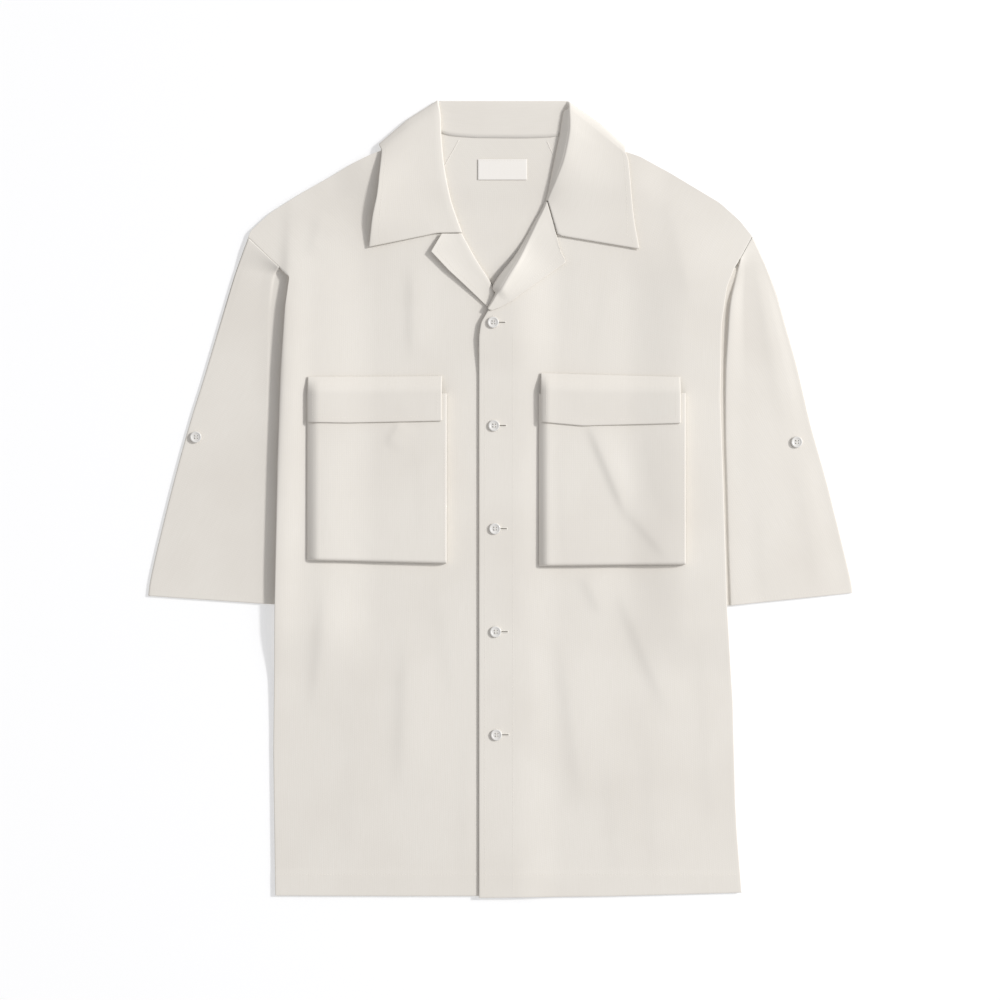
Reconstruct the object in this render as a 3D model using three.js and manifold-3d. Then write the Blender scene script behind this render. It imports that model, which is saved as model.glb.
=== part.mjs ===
// A camp-collar utility shirt laid flat, in millimetres. +Z is up from the surface it lies on, +Y runs from
// hem to neck, and the origin is at the middle of its footprint. Left and right are the wearer's, so the left
// front is on the +X side. Each piece is a wall of cloth about a middle surface.
import * as THREE from "three";
import Module from "manifold-3d";
import { mergeVertices } from "three/addons/utils/BufferGeometryUtils.js";

const CLOTH = 1.2; // thickness of the shirt's cloth with its air
const COLLAR = 1.6; // thickness of the collar: two layers and an interlining
const SEAM = 0.35; // gap between pieces that are sewn together
const PLY = CLOTH + 0.9; // rise from the back to the front, which lies loosely on it
const FOLD_PLY = CLOTH + 0.4; // rise from one layer to the next where cloth is folded on itself
const BACK_Z = CLOTH / 2; // middle of the back panel where it lies on the surface

const STAND_TURN = 1; // radius of the collar's roll, from the stand to the fall
const LAPEL_TURN = 0.875; // radius of a lapel's roll
const SHOULDER_TURN = 2.8; // radius with which the collar passes over the shoulder
const FALL_GAP = 0.45; // air under the fall
const STAND_SINK = 1; // the stand sinks from the front's level to the back's over its half turn
const FALL_RISE = 2.1; // the back of the neck lies on the collar's fall
const FALL_FOOT = { x: 132, y: 322 }; // which reaches this far out and down
const TUCK_RISE = 4.4; // the sides of the body lie on the tucked sleeves
const TUCK_X = 186; // the tucked sleeves reach this far in from each side
const TUCK_TOP_Y = 216; // and from here
const SLEEVE_HEM_Y = -108; // down to here
const RAMP = 38; // the body comes down from what it lies on over this distance
const TUCK_RAMP = 62; // and over this one, across, from the tucked sleeves
const LAP = { rise: 1.8, x: [14, 62], y: [225, 262] }; // the left front lies on the right one along the placket
const CROSSING = { rise: 2.3, x: [8, 60], foot: [120, 165], head: [222, 255] }; // and on the right lapel

const BUTTON = { radius: 5.75, thick: 2.4, rim: 0.5, hole: 0.75, spread: 1.25, clear: 0.35 };
const FIRST_BUTTON = { x: -7.3, y: 177 };
const BUTTON_PITCH = 103.1; // from each front button down to the next
const BUTTON_LEAN = 0.8; // and across to it
const SLEEVE_BUTTONS = { right: [-304.9, 62.5], left: [296.5, 57.5] };

// Each row is a point on the edge of the body, from the tip of the shoulder down to the hem.
const SIDE = {
  right: [
    [-252.6, 262.5], [-232.5, 243], [-210.8, 223], [-215.2, 192.5], [-219.5, 127.5], [-222.5, 39.5],
    [-225.5, -104.5], [-227.5, -250.5], [-225.5, -396.5],
  ],
  left: [
    [251.8, 263.5], [243, 247], [234, 231.5], [226.5, 212.5], [221, 174.5], [219.7, 99.5], [222.5, 22.5],
    [226.5, -107.5], [232.5, -200.5], [235, -300.5], [236.8, -335], [241.5, -393.5],
  ],
};

// Each row is a point on the shoulder seam, from the tip to the neck.
const SHOULDER = {
  right: [
    [-252.6, 262.5], [-250.3, 268.8], [-230.5, 287], [-200.5, 306], [-170.5, 323], [-150.5, 335], [-130.5, 345],
    [-121.5, 348.3], [-113.5, 350.7], [-75.5, 371.5],
  ],
  left: [
    [251.8, 263.5], [239.5, 279.2], [219.5, 297], [199.5, 309], [169.5, 327], [139.5, 343], [127, 347.2],
    [118, 349.4], [79, 370.5],
  ],
};

const BACK_NECK = [
  [-75.5, 371.5], [-63.5, 367.6], [-50.6, 363.3], [-25, 361.4], [0, 361.2], [25, 361.1], [52.6, 362.1], [67.8, 366.6],
  [79, 370.5],
];

// Rows of the collar from the middle of the back to its end at the lapel. seam is where it is sewn to the neck,
// roll is its fold, mid and edge lie on its fall, turn is the side of the stand on which the fall lies (-90 below,
// 90 above, in degrees), lift is how far its edge stands off the cloth under it, and raise how far its roll does.
const COLLAR_ROWS = {
  right: [
    { seam: [-25, 361.9], roll: [-25, 398.5], mid: [-38, 362], edge: [-50, 326.5], turn: -90, lift: 0, raise: 0 },
    { seam: [-50, 364], roll: [-46, 398.5], mid: [-72, 363], edge: [-92, 328], turn: -90, lift: 0, raise: 0 },
    { seam: [-62, 368], roll: [-60, 398.5], mid: [-91, 368], edge: [-117, 343], turn: -90, lift: 0, raise: 0 },
    { seam: [-65.5, 371.5], roll: [-62, 398.3], mid: [-91.5, 375.5], edge: [-118.6, 352.8], turn: -45, lift: 0, raise: 0 },
    { seam: [-68.5, 375.5], roll: [-62.8, 398], mid: [-91.5, 378], edge: [-119.8, 353], turn: 0, lift: 0, raise: 0 },
    { seam: [-70, 374], roll: [-62, 393.5], mid: [-91, 374], edge: [-119.5, 351], turn: 45, lift: 0, raise: -0.1 },
    { seam: [-73, 366], roll: [-60.5, 384], mid: [-90, 368], edge: [-118.8, 346.5], turn: 90, lift: 1.5, raise: 0 },
    { seam: [-73, 347], roll: [-59.5, 360], mid: [-91, 346], edge: [-120.8, 327], turn: 90, lift: 4.6, raise: 0 },
    { seam: [-69.5, 325], roll: [-56.5, 331], mid: [-90, 319], edge: [-123.2, 305], turn: 90, lift: 6.4, raise: 0 },
    { seam: [-62, 300], roll: [-50.5, 301], mid: [-84, 295], edge: [-127.6, 284], turn: 90, lift: 5.8, raise: 0 },
    { seam: [-51, 281], roll: [-44, 281], mid: [-75, 277], edge: [-130, 266], turn: 90, lift: 3.4, raise: 0 },
    { seam: [-43, 267.5], roll: [-39, 267], mid: [-63.5, 266.5], edge: [-131.5, 252.5], turn: 90, lift: 1.2, raise: 0 },
  ],
  left: [
    { seam: [25, 361.6], roll: [25, 398.5], mid: [38, 362], edge: [50, 326.5], turn: -90, lift: 0, raise: 0 },
    { seam: [52, 362.8], roll: [49, 398.5], mid: [74, 363], edge: [94, 328], turn: -90, lift: 0, raise: 0 },
    { seam: [66, 367], roll: [64, 398.5], mid: [95, 368], edge: [118, 343], turn: -90, lift: 0, raise: 0 },
    { seam: [69.5, 371], roll: [66.5, 398], mid: [96.5, 373], edge: [119.2, 352.4], turn: -45, lift: 0, raise: 0.3 },
    { seam: [72.5, 376], roll: [67.8, 397], mid: [97, 375], edge: [122, 351.5], turn: 0, lift: 0, raise: 0.6 },
    { seam: [71.5, 384], roll: [68.6, 394.5], mid: [97, 371.5], edge: [123.5, 348.5], turn: 45, lift: 0, raise: 1.2 },
    { seam: [64.4, 388.6], roll: [69.3, 389], mid: [97, 368], edge: [125.8, 345], turn: 90, lift: 0.3, raise: 2.6 },
    { seam: [61.4, 377], roll: [69.8, 377.5], mid: [97.5, 359], edge: [127.8, 339], turn: 90, lift: 0.4, raise: 4.4 },
    { seam: [59.4, 364], roll: [69, 364], mid: [98, 346], edge: [129.3, 325], turn: 90, lift: 0.6, raise: 5.4 },
    { seam: [55, 343], roll: [64, 340], mid: [96, 320], edge: [131.5, 300], turn: 90, lift: 0.6, raise: 5 },
    { seam: [51, 323], roll: [57, 321], mid: [89, 298], edge: [134, 278], turn: 90, lift: 0.6, raise: 3 },
    { seam: [47.6, 306], roll: [50, 305], mid: [72, 277], edge: [137, 262], turn: 90, lift: 0.6, raise: 1 },
    { seam: [46, 299.5], roll: [47.6, 298.6], mid: [57.2, 264.2], edge: [139, 250.5], turn: 90, lift: 0.4, raise: 0.4 },
  ],
};

// Rows of each lapel from the collar down to its point: seam, roll, mid and edge as on the collar.
const LAPEL_ROWS = {
  right: [
    { seam: [-43, 265.5], roll: [-39, 266.2], mid: [-49, 266], edge: [-58.8, 265.9], turn: 90, lift: 1.6, raise: 0 },
    { seam: [-41, 261.5], roll: [-37, 262], mid: [-50, 258.5], edge: [-64.2, 256.8], turn: 90, lift: 2.6, raise: 0 },
    { seam: [-38.3, 256.5], roll: [-34.2, 257], mid: [-51, 252.5], edge: [-69.5, 247.9], turn: 90, lift: 3, raise: 0 },
    { seam: [-32, 244.5], roll: [-27.8, 245], mid: [-44.5, 240.5], edge: [-61.4, 239.4], turn: 90, lift: 2.8, raise: 0 },
    { seam: [-25, 233], roll: [-20.8, 233.5], mid: [-37, 230], edge: [-52.2, 229.6], turn: 90, lift: 2.4, raise: 0 },
    { seam: [-17.5, 221.5], roll: [-13.2, 222], mid: [-27, 220.7], edge: [-39.4, 217.8], turn: 90, lift: 1.6, raise: 0 },
    { seam: [-11, 208.5], roll: [-6.8, 209.5], mid: [-16.2, 206.5], edge: [-25.8, 205], turn: 90, lift: 0.8, raise: 0 },
    { seam: [-7.5, 197], roll: [-3.7, 197.5], mid: [-8, 195.5], edge: [-12.6, 192.2], turn: 90, lift: 0.2, raise: 0 },
  ],
  left: [
    { seam: [44.9, 298.4], roll: [46.6, 297.6], mid: [52, 279], edge: [56.2, 263], turn: 90, lift: 0.4, raise: 0.4 },
    { seam: [41, 289.5], roll: [42.8, 288.4], mid: [51.5, 267], edge: [60, 249], turn: 90, lift: 0.5, raise: 0.6 },
    { seam: [35.3, 279.8], roll: [37.6, 278.2], mid: [52, 257], edge: [65.5, 237.5], turn: 90, lift: 0.5, raise: 1 },
    { seam: [25.4, 261.8], roll: [28.7, 259.5], mid: [41, 243], edge: [50.5, 226.7], turn: 90, lift: 0.4, raise: 2 },
    { seam: [14, 242.8], roll: [19.2, 240], mid: [28, 226], edge: [35.3, 216], turn: 90, lift: 0.2, raise: 3.4 },
    { seam: [-0.6, 224.5], roll: [8.5, 222.5], mid: [15.5, 211.5], edge: [21.5, 206.2], turn: 90, lift: 0, raise: 4.6 },
    { seam: [-7.7, 212.2], roll: [2, 211.6], mid: [7.5, 203.5], edge: [12.4, 199], turn: 90, lift: 0, raise: 4.4 },
    { seam: [-5, 206.3], roll: [-3.1, 205.5], mid: [1.6, 199.5], edge: [5.6, 195.2], turn: 90, lift: 0, raise: 2 },
    { seam: [-8.5, 199], roll: [-7.2, 198.2], mid: [-3.6, 194.2], edge: [-1, 191.8], turn: 90, lift: 0, raise: 0.8 },
    { seam: [-12.6, 191.2], roll: [-12.4, 190.2], mid: [-10.6, 189.4], edge: [-8.8, 188.9], turn: 90, lift: 0, raise: 0.2 },
  ],
};

// Rows of each sleeve from the armhole to the hem. outer is the folded outer edge, crest is where the cloth
// turns down into the valley beside the body, inner is the fold tucked under it, and rise is the crest's height.
const SLEEVE_ROWS = {
  right: [
    { outer: [-253, 262.1], crest: [-222.4, 233], inner: [-212.3, 223.4], rise: 0 },
    { outer: [-265.5, 227.5], crest: [-229, 221.5], inner: [-207, 214], rise: 0.6 },
    { outer: [-277, 190], crest: [-233, 187], inner: [-203, 184], rise: 0.8 },
    { outer: [-288, 153], crest: [-234, 149.5], inner: [-201, 147], rise: 0.8 },
    { outer: [-299, 116], crest: [-234.5, 111], inner: [-199, 108], rise: 0.8 },
    { outer: [-310.5, 79.5], crest: [-235, 73], inner: [-197, 70], rise: 0.8 },
    { outer: [-326.5, 21.5], crest: [-236, 12], inner: [-194, 8], rise: 0.8 },
    { outer: [-341.5, -38.5], crest: [-238, -48], inner: [-191, -52], rise: 0.8 },
    { outer: [-350.5, -78.5], crest: [-237.5, -87], inner: [-189, -89], rise: 0.8 },
    { outer: [-353, -96.5], crest: [-236, -104.5], inner: [-188.5, -107], rise: 0.8 },
  ],
  left: [
    { outer: [252.4, 263.2], crest: [241.1, 242.2], inner: [234.7, 230.5], rise: 0 },
    { outer: [265.5, 235], crest: [237, 223], inner: [215, 214], rise: 1.2 },
    { outer: [277.5, 203], crest: [231, 197], inner: [206, 190], rise: 2.8 },
    { outer: [286.5, 172], crest: [228.5, 165], inner: [202, 160], rise: 2.8 },
    { outer: [297.5, 132.5], crest: [226.5, 124], inner: [200, 118], rise: 2 },
    { outer: [311, 75], crest: [226.5, 64], inner: [197, 58], rise: 1.4 },
    { outer: [326, 22], crest: [228, 10], inner: [194, 4], rise: 1.2 },
    { outer: [340.5, -36], crest: [229.5, -48], inner: [191, -54], rise: 1.2 },
    { outer: [351, -80], crest: [231, -91], inner: [189, -93], rise: 1.4 },
    { outer: [353, -93.5], crest: [231.5, -106], inner: [188.5, -107], rise: 1.6 },
  ],
};

// Soft folds of the fronts, each a ridge from its upper end to its lower one, fading at both. It falls steeply
// towards -X and LEEWARD times as gently towards +X. The last one is the edge beside the right sleeve.
const LEEWARD = 3;
const FOLDS = [
  { from: [-87.5, 232], to: [-87.5, 146], wide: 6, high: 0.9 },
  { from: [-177, 284], to: [-187, 244], wide: 8, high: 0.8 },
  { from: [-173, -93], to: [-185, -205], wide: 8, high: 1.1 },
  { from: [-92, -148], to: [-98, -284], wide: 9, high: 1 },
  { from: [84, -75], to: [102, -112], wide: 7, high: 0.9 },
  { from: [120, -91], to: [167, -206], wide: 8, high: 1.1 },
  { from: [62, -140], to: [84, -302], wide: 10, high: 0.9 },
  { from: [170, 300], to: [196, 190], wide: 12, high: 0.8 },
  { from: [-210, 262], to: [-229, -190], wide: 7, high: 3.4 },
];

// The pockets: sides and bottom of the bag, the height of its face at mouth and bottom, the width of the slope
// on each side, and the flap's corners. A crease is a fold of the bag's face.
const POCKETS = {
  right: {
    x: [-192.8, -54], mouth: 106, bottom: [-60.5, -64], high: [5, 6.2], slope: [12, 1.2], foot: 1.8,
    flap: { x: [-192.4, -58.5], top: [122.5, 123.5], hem: [77, 76.5, 78.5] },
    creases: [{ from: [-99, 78], to: [-112, 54], wide: 4.5, high: 0.7 }],
  },
  left: {
    x: [38.5, 184.5], mouth: 106, bottom: [-66.5, -65], high: [5, 6.2], slope: [10, 1.2], foot: 1.8,
    flap: { x: [40.4, 179.5], top: [126.5, 122.5], hem: [77.4, 73.6, 76] },
    creases: [
      { from: [90, 74], to: [127, -14], wide: 5.5, high: 1.5 },
      { from: [128, -10], to: [166, -54], wide: 6, high: 0.8 },
    ],
  },
};
const FLAP_THICK = 1.8;
const FLAP_POINT = 0.3; // share of the flap's width at which its hem turns
const OVER_BAG = 0.9; // the flap's under side clears the bag by about half of this
const FLAP_CLIMB = [-0.06, 0.36]; // and gets there over this share of its depth
const FLAP_COLUMNS = 8;

const LABEL = { x: [-22.5, 26.5], y: [320, 340.5], thick: 0.7, cells: [6, 4] };

const mix = (a, b, t) => a + (b - a) * t;
const smooth = (from, to, v) => THREE.MathUtils.smoothstep(v, from, to);
const spread = (count) => Array.from({ length: count }, (_, i) => i / (count - 1));

// A smooth curve through [x, y] rows, as a function of its share of length.
function curveOf(rows) {
  const points = rows.map(([x, y]) => new THREE.Vector3(x, y, 0));
  const curve = new THREE.CatmullRomCurve3(points, false, "centripetal");
  curve.arcLengthDivisions = 400;
  return (t) => curve.getPointAt(t);
}

// A run of straight lines through [x, y] rows, as a function of its share of length.
function brokenLineOf(rows) {
  const path = new THREE.CurvePath();
  for (let i = 1; i < rows.length; i++)
    path.add(new THREE.LineCurve(new THREE.Vector2(...rows[i - 1]), new THREE.Vector2(...rows[i])));
  return (t) => {
    const p = path.getPointAt(t);
    return new THREE.Vector3(p.x, p.y, 0);
  };
}

// How high a ridge of soft section stands at a point: full along its line, nothing past its width and ends.
function ridgeAt(fold, x, y) {
  const [ax, ay] = fold.from;
  const dx = fold.to[0] - ax;
  const dy = fold.to[1] - ay;
  const length = Math.hypot(dx, dy);
  const along = ((x - ax) * dx + (y - ay) * dy) / length;
  const off = ((x - ax) * dy - (y - ay) * dx) / length;
  const ends = smooth(-0.15 * length, 0.3 * length, along) * (1 - smooth(0.7 * length, 1.15 * length, along));
  return fold.high * ends * Math.exp(-((off / (off < 0 ? LEEWARD * fold.wide : fold.wide)) ** 2));
}

const ridgesAt = (folds, x, y) => folds.reduce((sum, fold) => sum + ridgeAt(fold, x, y), 0);

// How far the back panel is lifted off the surface by the collar's fall and by the tucked sleeves.
function backRise(x, y) {
  const overFall =
    FALL_RISE * smooth(FALL_FOOT.y - RAMP, FALL_FOOT.y, y) *
    (1 - smooth(FALL_FOOT.x, FALL_FOOT.x + RAMP, Math.abs(x)));
  const overTuck =
    TUCK_RISE * smooth(TUCK_X - TUCK_RAMP, TUCK_X, Math.abs(x)) *
    (1 - smooth(TUCK_TOP_Y, TUCK_TOP_Y + TUCK_RAMP, y)) *
    smooth(SLEEVE_HEM_Y - 2 * RAMP, SLEEVE_HEM_Y - 0.4 * RAMP, y);
  return overFall + overTuck;
}

const backZ = (x, y) => BACK_Z + backRise(x, y);

// The left front lies over the right one along the placket, and over the right lapel where the two cross.
function overlapRise(x, y) {
  const placket = LAP.rise * (1 - smooth(...LAP.x, x)) * (1 - smooth(...LAP.y, y));
  const { rise, foot, head } = CROSSING;
  const crossing = rise * (1 - smooth(...CROSSING.x, x)) * smooth(...foot, y) * (1 - smooth(...head, y));
  return placket + crossing;
}

const frontZ = {
  right: (x, y) => backZ(x, y) + PLY + ridgesAt(FOLDS, x, y),
  left: (x, y) => backZ(x, y) + PLY + ridgesAt(FOLDS, x, y) + overlapRise(x, y),
};

// A closed wall about a grid of middle points. It is offset along the surface's normal, or straight up.
function wall(grid, thick, { ring = false, upright = false } = {}) {
  const rows = grid.length;
  const cols = grid[0].length;
  const at = (j, i) =>
    grid[THREE.MathUtils.clamp(j, 0, rows - 1)][ring ? (i + cols) % cols : THREE.MathUtils.clamp(i, 0, cols - 1)];
  const positions = [];
  for (const side of [0.5, -0.5])
    for (let j = 0; j < rows; j++)
      for (let i = 0; i < cols; i++) {
        const along = at(j, i + 1).clone().sub(at(j, i - 1));
        const across = at(j + 1, i).clone().sub(at(j - 1, i));
        const normal = upright ? new THREE.Vector3(0, 0, 1) : along.cross(across).normalize();
        positions.push(...at(j, i).clone().addScaledVector(normal, side * thick).toArray());
      }
  const under = rows * cols;
  const faces = [];
  const quad = (a, b, c, d) => faces.push(a, b, c, a, c, d);
  const lastCol = ring ? cols : cols - 1;
  for (let j = 0; j + 1 < rows; j++)
    for (let i = 0; i < lastCol; i++) {
      const [a, b] = [j * cols + i, j * cols + ((i + 1) % cols)];
      const [c, d] = [b + cols, a + cols];
      quad(a, b, c, d);
      quad(under + a, under + d, under + c, under + b);
    }
  for (let i = 0; i < lastCol; i++) {
    const [a, b] = [i, (i + 1) % cols];
    quad(a, under + a, under + b, b);
    const [c, d] = [(rows - 1) * cols + a, (rows - 1) * cols + b];
    quad(d, under + d, under + c, c);
  }
  if (!ring)
    for (let j = 0; j + 1 < rows; j++) {
      const [a, d] = [j * cols, (j + 1) * cols];
      quad(d, under + d, under + a, a);
      const [b, c] = [a + cols - 1, d + cols - 1];
      quad(b, under + b, under + c, c);
    }
  return closedBody(positions, faces);
}

// A geometry from points and faces, with its faces turned outwards.
function closedBody(positions, faces) {
  const corner = (k) => new THREE.Vector3().fromArray(positions, faces[k] * 3);
  let volume = 0;
  for (let k = 0; k < faces.length; k += 3) volume += corner(k).dot(corner(k + 1).cross(corner(k + 2)));
  if (volume < 0) for (let k = 0; k < faces.length; k += 3) [faces[k], faces[k + 1]] = [faces[k + 1], faces[k]];
  const geometry = new THREE.BufferGeometry();
  geometry.setAttribute("position", new THREE.Float32BufferAttribute(positions, 3));
  geometry.setIndex(faces);
  geometry.computeVertexNormals();
  return geometry;
}

// A grid of points between four edges: top and foot run across, first and last run down.
function patch({ top, foot, first, last, columns, downs, height }) {
  return downs.map((v) =>
    columns.map((u) => {
      const point = top(u).multiplyScalar(1 - v).addScaledVector(foot(u), v);
      point.addScaledVector(first(v), 1 - u).addScaledVector(last(v), u);
      const corners = [[top(0), (1 - u) * (1 - v)], [top(1), u * (1 - v)], [foot(0), (1 - u) * v], [foot(1), u * v]];
      for (const [corner, share] of corners) point.addScaledVector(corner, -share);
      point.z = height(point.x, point.y);
      return point;
    }),
  );
}

// Shares of length of a broken line's own points, with each stretch cut into pieces no longer than step.
function sharesOf(rows, step) {
  const lengths = rows.slice(1).map(([x, y], i) => Math.hypot(x - rows[i][0], y - rows[i][1]));
  const total = lengths.reduce((sum, length) => sum + length, 0);
  const shares = [0];
  let run = 0;
  for (const length of lengths) {
    const cuts = Math.ceil(length / step);
    for (let k = 1; k <= cuts; k++) shares.push((run + (length * k) / cuts) / total);
    run += length;
  }
  return shares;
}

// Rows crowd towards the shoulder, where the shape changes most.
const panelRows = (count) => spread(count).map((t) => mix(t, t * t, 0.35));

function backPanel() {
  const shoulders = [...SHOULDER.right, ...BACK_NECK.slice(1, -1), ...[...SHOULDER.left].reverse()];
  const grid = patch({
    top: brokenLineOf(shoulders),
    foot: curveOf([SIDE.right.at(-1), [0, -397.5], SIDE.left.at(-1)]),
    first: brokenLineOf(SIDE.right),
    last: brokenLineOf(SIDE.left),
    columns: sharesOf(shoulders, 27),
    downs: panelRows(20),
    height: backZ,
  });
  return wall(grid, CLOTH, { upright: true });
}

// The front's inner edge: its neckline, the roll of its lapel and its placket edge.
const COLLAR_FRONT = { right: 6, left: 8 }; // the collar's rows from this one on lie on the front
const BESIDE_SEAM = 1.6; // the right front ends this far outside the seam of a leaf that lies folded
const UNDER_ROLL = 0.5; // and the left front this far outside the roll of one that stands open
function innerEdge(side, placket) {
  const beside = ({ seam, roll }) =>
    side === "left" ? [roll[0] + UNDER_ROLL, roll[1] - SEAM] : [seam[0] - BESIDE_SEAM, seam[1] - SEAM];
  const collar = COLLAR_ROWS[side].slice(COLLAR_FRONT[side]).map(beside);
  return [SHOULDER[side].at(-1), ...collar, ...LAPEL_ROWS[side].slice(1).map(beside), ...placket];
}

function frontPanel(side, placket, hem) {
  const grid = patch({
    top: brokenLineOf(SHOULDER[side]),
    foot: curveOf([SIDE[side].at(-1), hem, placket.at(-1)]),
    first: brokenLineOf(SIDE[side]),
    last: brokenLineOf(innerEdge(side, placket)),
    columns: spread(15),
    downs: panelRows(25),
    height: frontZ[side],
  });
  return wall(grid, CLOTH, { upright: true });
}

// One section of an open leaf or lapel: up from the seam at its inner side to the roll, and down over the fall.
const STAND_CURVE = 1.2; // the open stand is hollow: it climbs as this power of the way to the roll
const ROLL_CAP = 1.2; // the roll is rounded this far to each side, or less where the stand is narrow
const LEVEL_FROM = 6; // the height of the cloth under a roll is read this far outside it
const STAND_STEPS = [0, 0.5]; // points of the stand, from the seam towards the roll
const FALL_STEPS = spread(7).slice(1); // and of the fall, from the roll to its edge, with mid at one half
function openSection(row, surface, thick) {
  const [seam, roll, mid, edge] = [row.seam, row.roll, row.mid, row.edge].map(([x, y]) => new THREE.Vector3(x, y, 0));
  const outwards = mid.clone().sub(roll).normalize();
  const width = seam.distanceTo(roll);
  const inwards = seam.clone().sub(roll).normalize();
  const level = surface(roll.x + outwards.x * LEVEL_FROM, roll.y + outwards.y * LEVEL_FROM);
  const rise = CLOTH / 2 + SEAM + thick / 2 + FALL_GAP + row.raise;
  const cap = Math.min(ROLL_CAP, width * 0.4);
  const climb = (off) => (1 - off / width) ** STAND_CURVE;
  const onStand = (off) => roll.clone().addScaledVector(inwards, off).setZ(level + rise * climb(off));
  const points = [width, (width + cap) / 2, cap, cap * 0.35].map(onStand);
  for (const off of [cap * 0.35, cap]) {
    const p = roll.clone().addScaledVector(outwards, off);
    points.push(p.setZ(level + rise));
  }
  const start = points.at(-1).clone().setZ(0);
  for (const t of FALL_STEPS) {
    const p = t < 0.5 ? start.clone().lerp(mid, t * 2) : mid.clone().lerp(edge, t * 2 - 1);
    points.push(p.setZ(fallZ(row, surface, p, t, thick)));
  }
  return points;
}

// One section of a collar or lapel: out from the seam, round the roll, and back over the fall to its edge.
function foldedSection(row, surface, thick) {
  if (row.turn === 90 && row.raise > 0) return openSection(row, surface, thick);
  const [seam, roll, mid, edge] = [row.seam, row.roll, row.mid, row.edge].map(([x, y]) => new THREE.Vector3(x, y, 0));
  const turn = THREE.MathUtils.degToRad(row.turn);
  const back = seam.clone().add(mid).multiplyScalar(0.5).sub(roll).normalize();
  const outward = edge.clone().sub(roll).normalize();
  outward.set(-outward.y, outward.x, 0);
  outward.multiplyScalar(Math.sign(outward.y));
  const half = new THREE.Vector3(0, 0, Math.sin(turn)).addScaledVector(outward, Math.cos(turn));
  const radius = thick === COLLAR ? STAND_TURN : LAPEL_TURN;
  const centre = roll.clone().addScaledVector(back, radius);
  const level = surface(roll.x + back.x * LEVEL_FROM, roll.y + back.y * LEVEL_FROM);
  const standZ = level - STAND_SINK * (1 - Math.sin(turn));
  const points = STAND_STEPS.map((t) => {
    const p = seam.clone().lerp(centre, t).addScaledVector(half, -radius * t * Math.cos(turn));
    return p.setZ(standZ + row.raise * t);
  });
  for (const angle of spread(4).map((t) => t * Math.PI)) {
    const p = centre.clone().addScaledVector(back, -radius * Math.sin(angle));
    p.addScaledVector(half, -radius * Math.cos(angle));
    p.z += standZ + row.raise + radius * Math.sin(turn);
    points.push(p);
  }
  const start = points.at(-1).clone();
  for (const t of FALL_STEPS) {
    const p = t < 0.5 ? start.clone().lerp(mid, t * 2) : mid.clone().lerp(edge, t * 2 - 1);
    const wraps = Math.abs(row.turn) < 90;
    const reach = wraps ? mix(radius, SHOULDER_TURN, Math.min(1, t * 2)) * Math.cos(turn) : 0;
    p.addScaledVector(outward, reach - radius * Math.cos(turn) * (1 - t));
    p.z = fallZ(row, surface, p, t, thick);
    points.push(p);
  }
  return points;
}

function fallZ(row, surface, p, t, thick) {
  if (row.turn === -90) return thick / 2;
  const loft = row.lift * t * t + row.raise * (1 - t) ** 2;
  const above = surface(p.x, p.y) + CLOTH / 2 + SEAM + thick / 2 + loft + FALL_GAP;
  const climb = 0.5 + 0.5 * Math.sin(THREE.MathUtils.degToRad(row.turn));
  return mix(thick / 2, above, climb);
}

function collarStrip() {
  const grid = [];
  for (const row of [...COLLAR_ROWS.right].reverse()) grid.push(foldedSection(row, frontZ.right, COLLAR));
  for (const row of COLLAR_ROWS.left) grid.push(foldedSection(row, frontZ.left, COLLAR));
  return wall(grid, COLLAR);
}

const lapel = (side) => wall(LAPEL_ROWS[side].map((row) => foldedSection(row, frontZ[side], CLOTH)), CLOTH);

const SLEEVE_TURN = FOLD_PLY / 2; // radius of the sleeve's folds
const SLEEVE_DROP = 3.5; // the upper layer comes down from its crest over this distance
const CREST_SHARE = 0.6; // of a sleeve's rise, this share is close to the crest and the rest by the outer edge

// The upper layer's height at share s from the outer edge to the crest. At the armhole it is level with the front.
function sleeveFront(row, s) {
  const [outer, crest] = [new THREE.Vector3(...row.outer, 0), new THREE.Vector3(...row.crest, 0)];
  const p = outer.lerp(crest, s);
  const climb = CREST_SHARE * smooth(0.72, 1, s) + (1 - CREST_SHARE) * smooth(0, 0.4, s);
  const z = BACK_Z + FOLD_PLY + row.rise * climb;
  p.z = mix(z, frontZ.right(p.x, p.y), row.joined ?? 0);
  return p;
}

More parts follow.
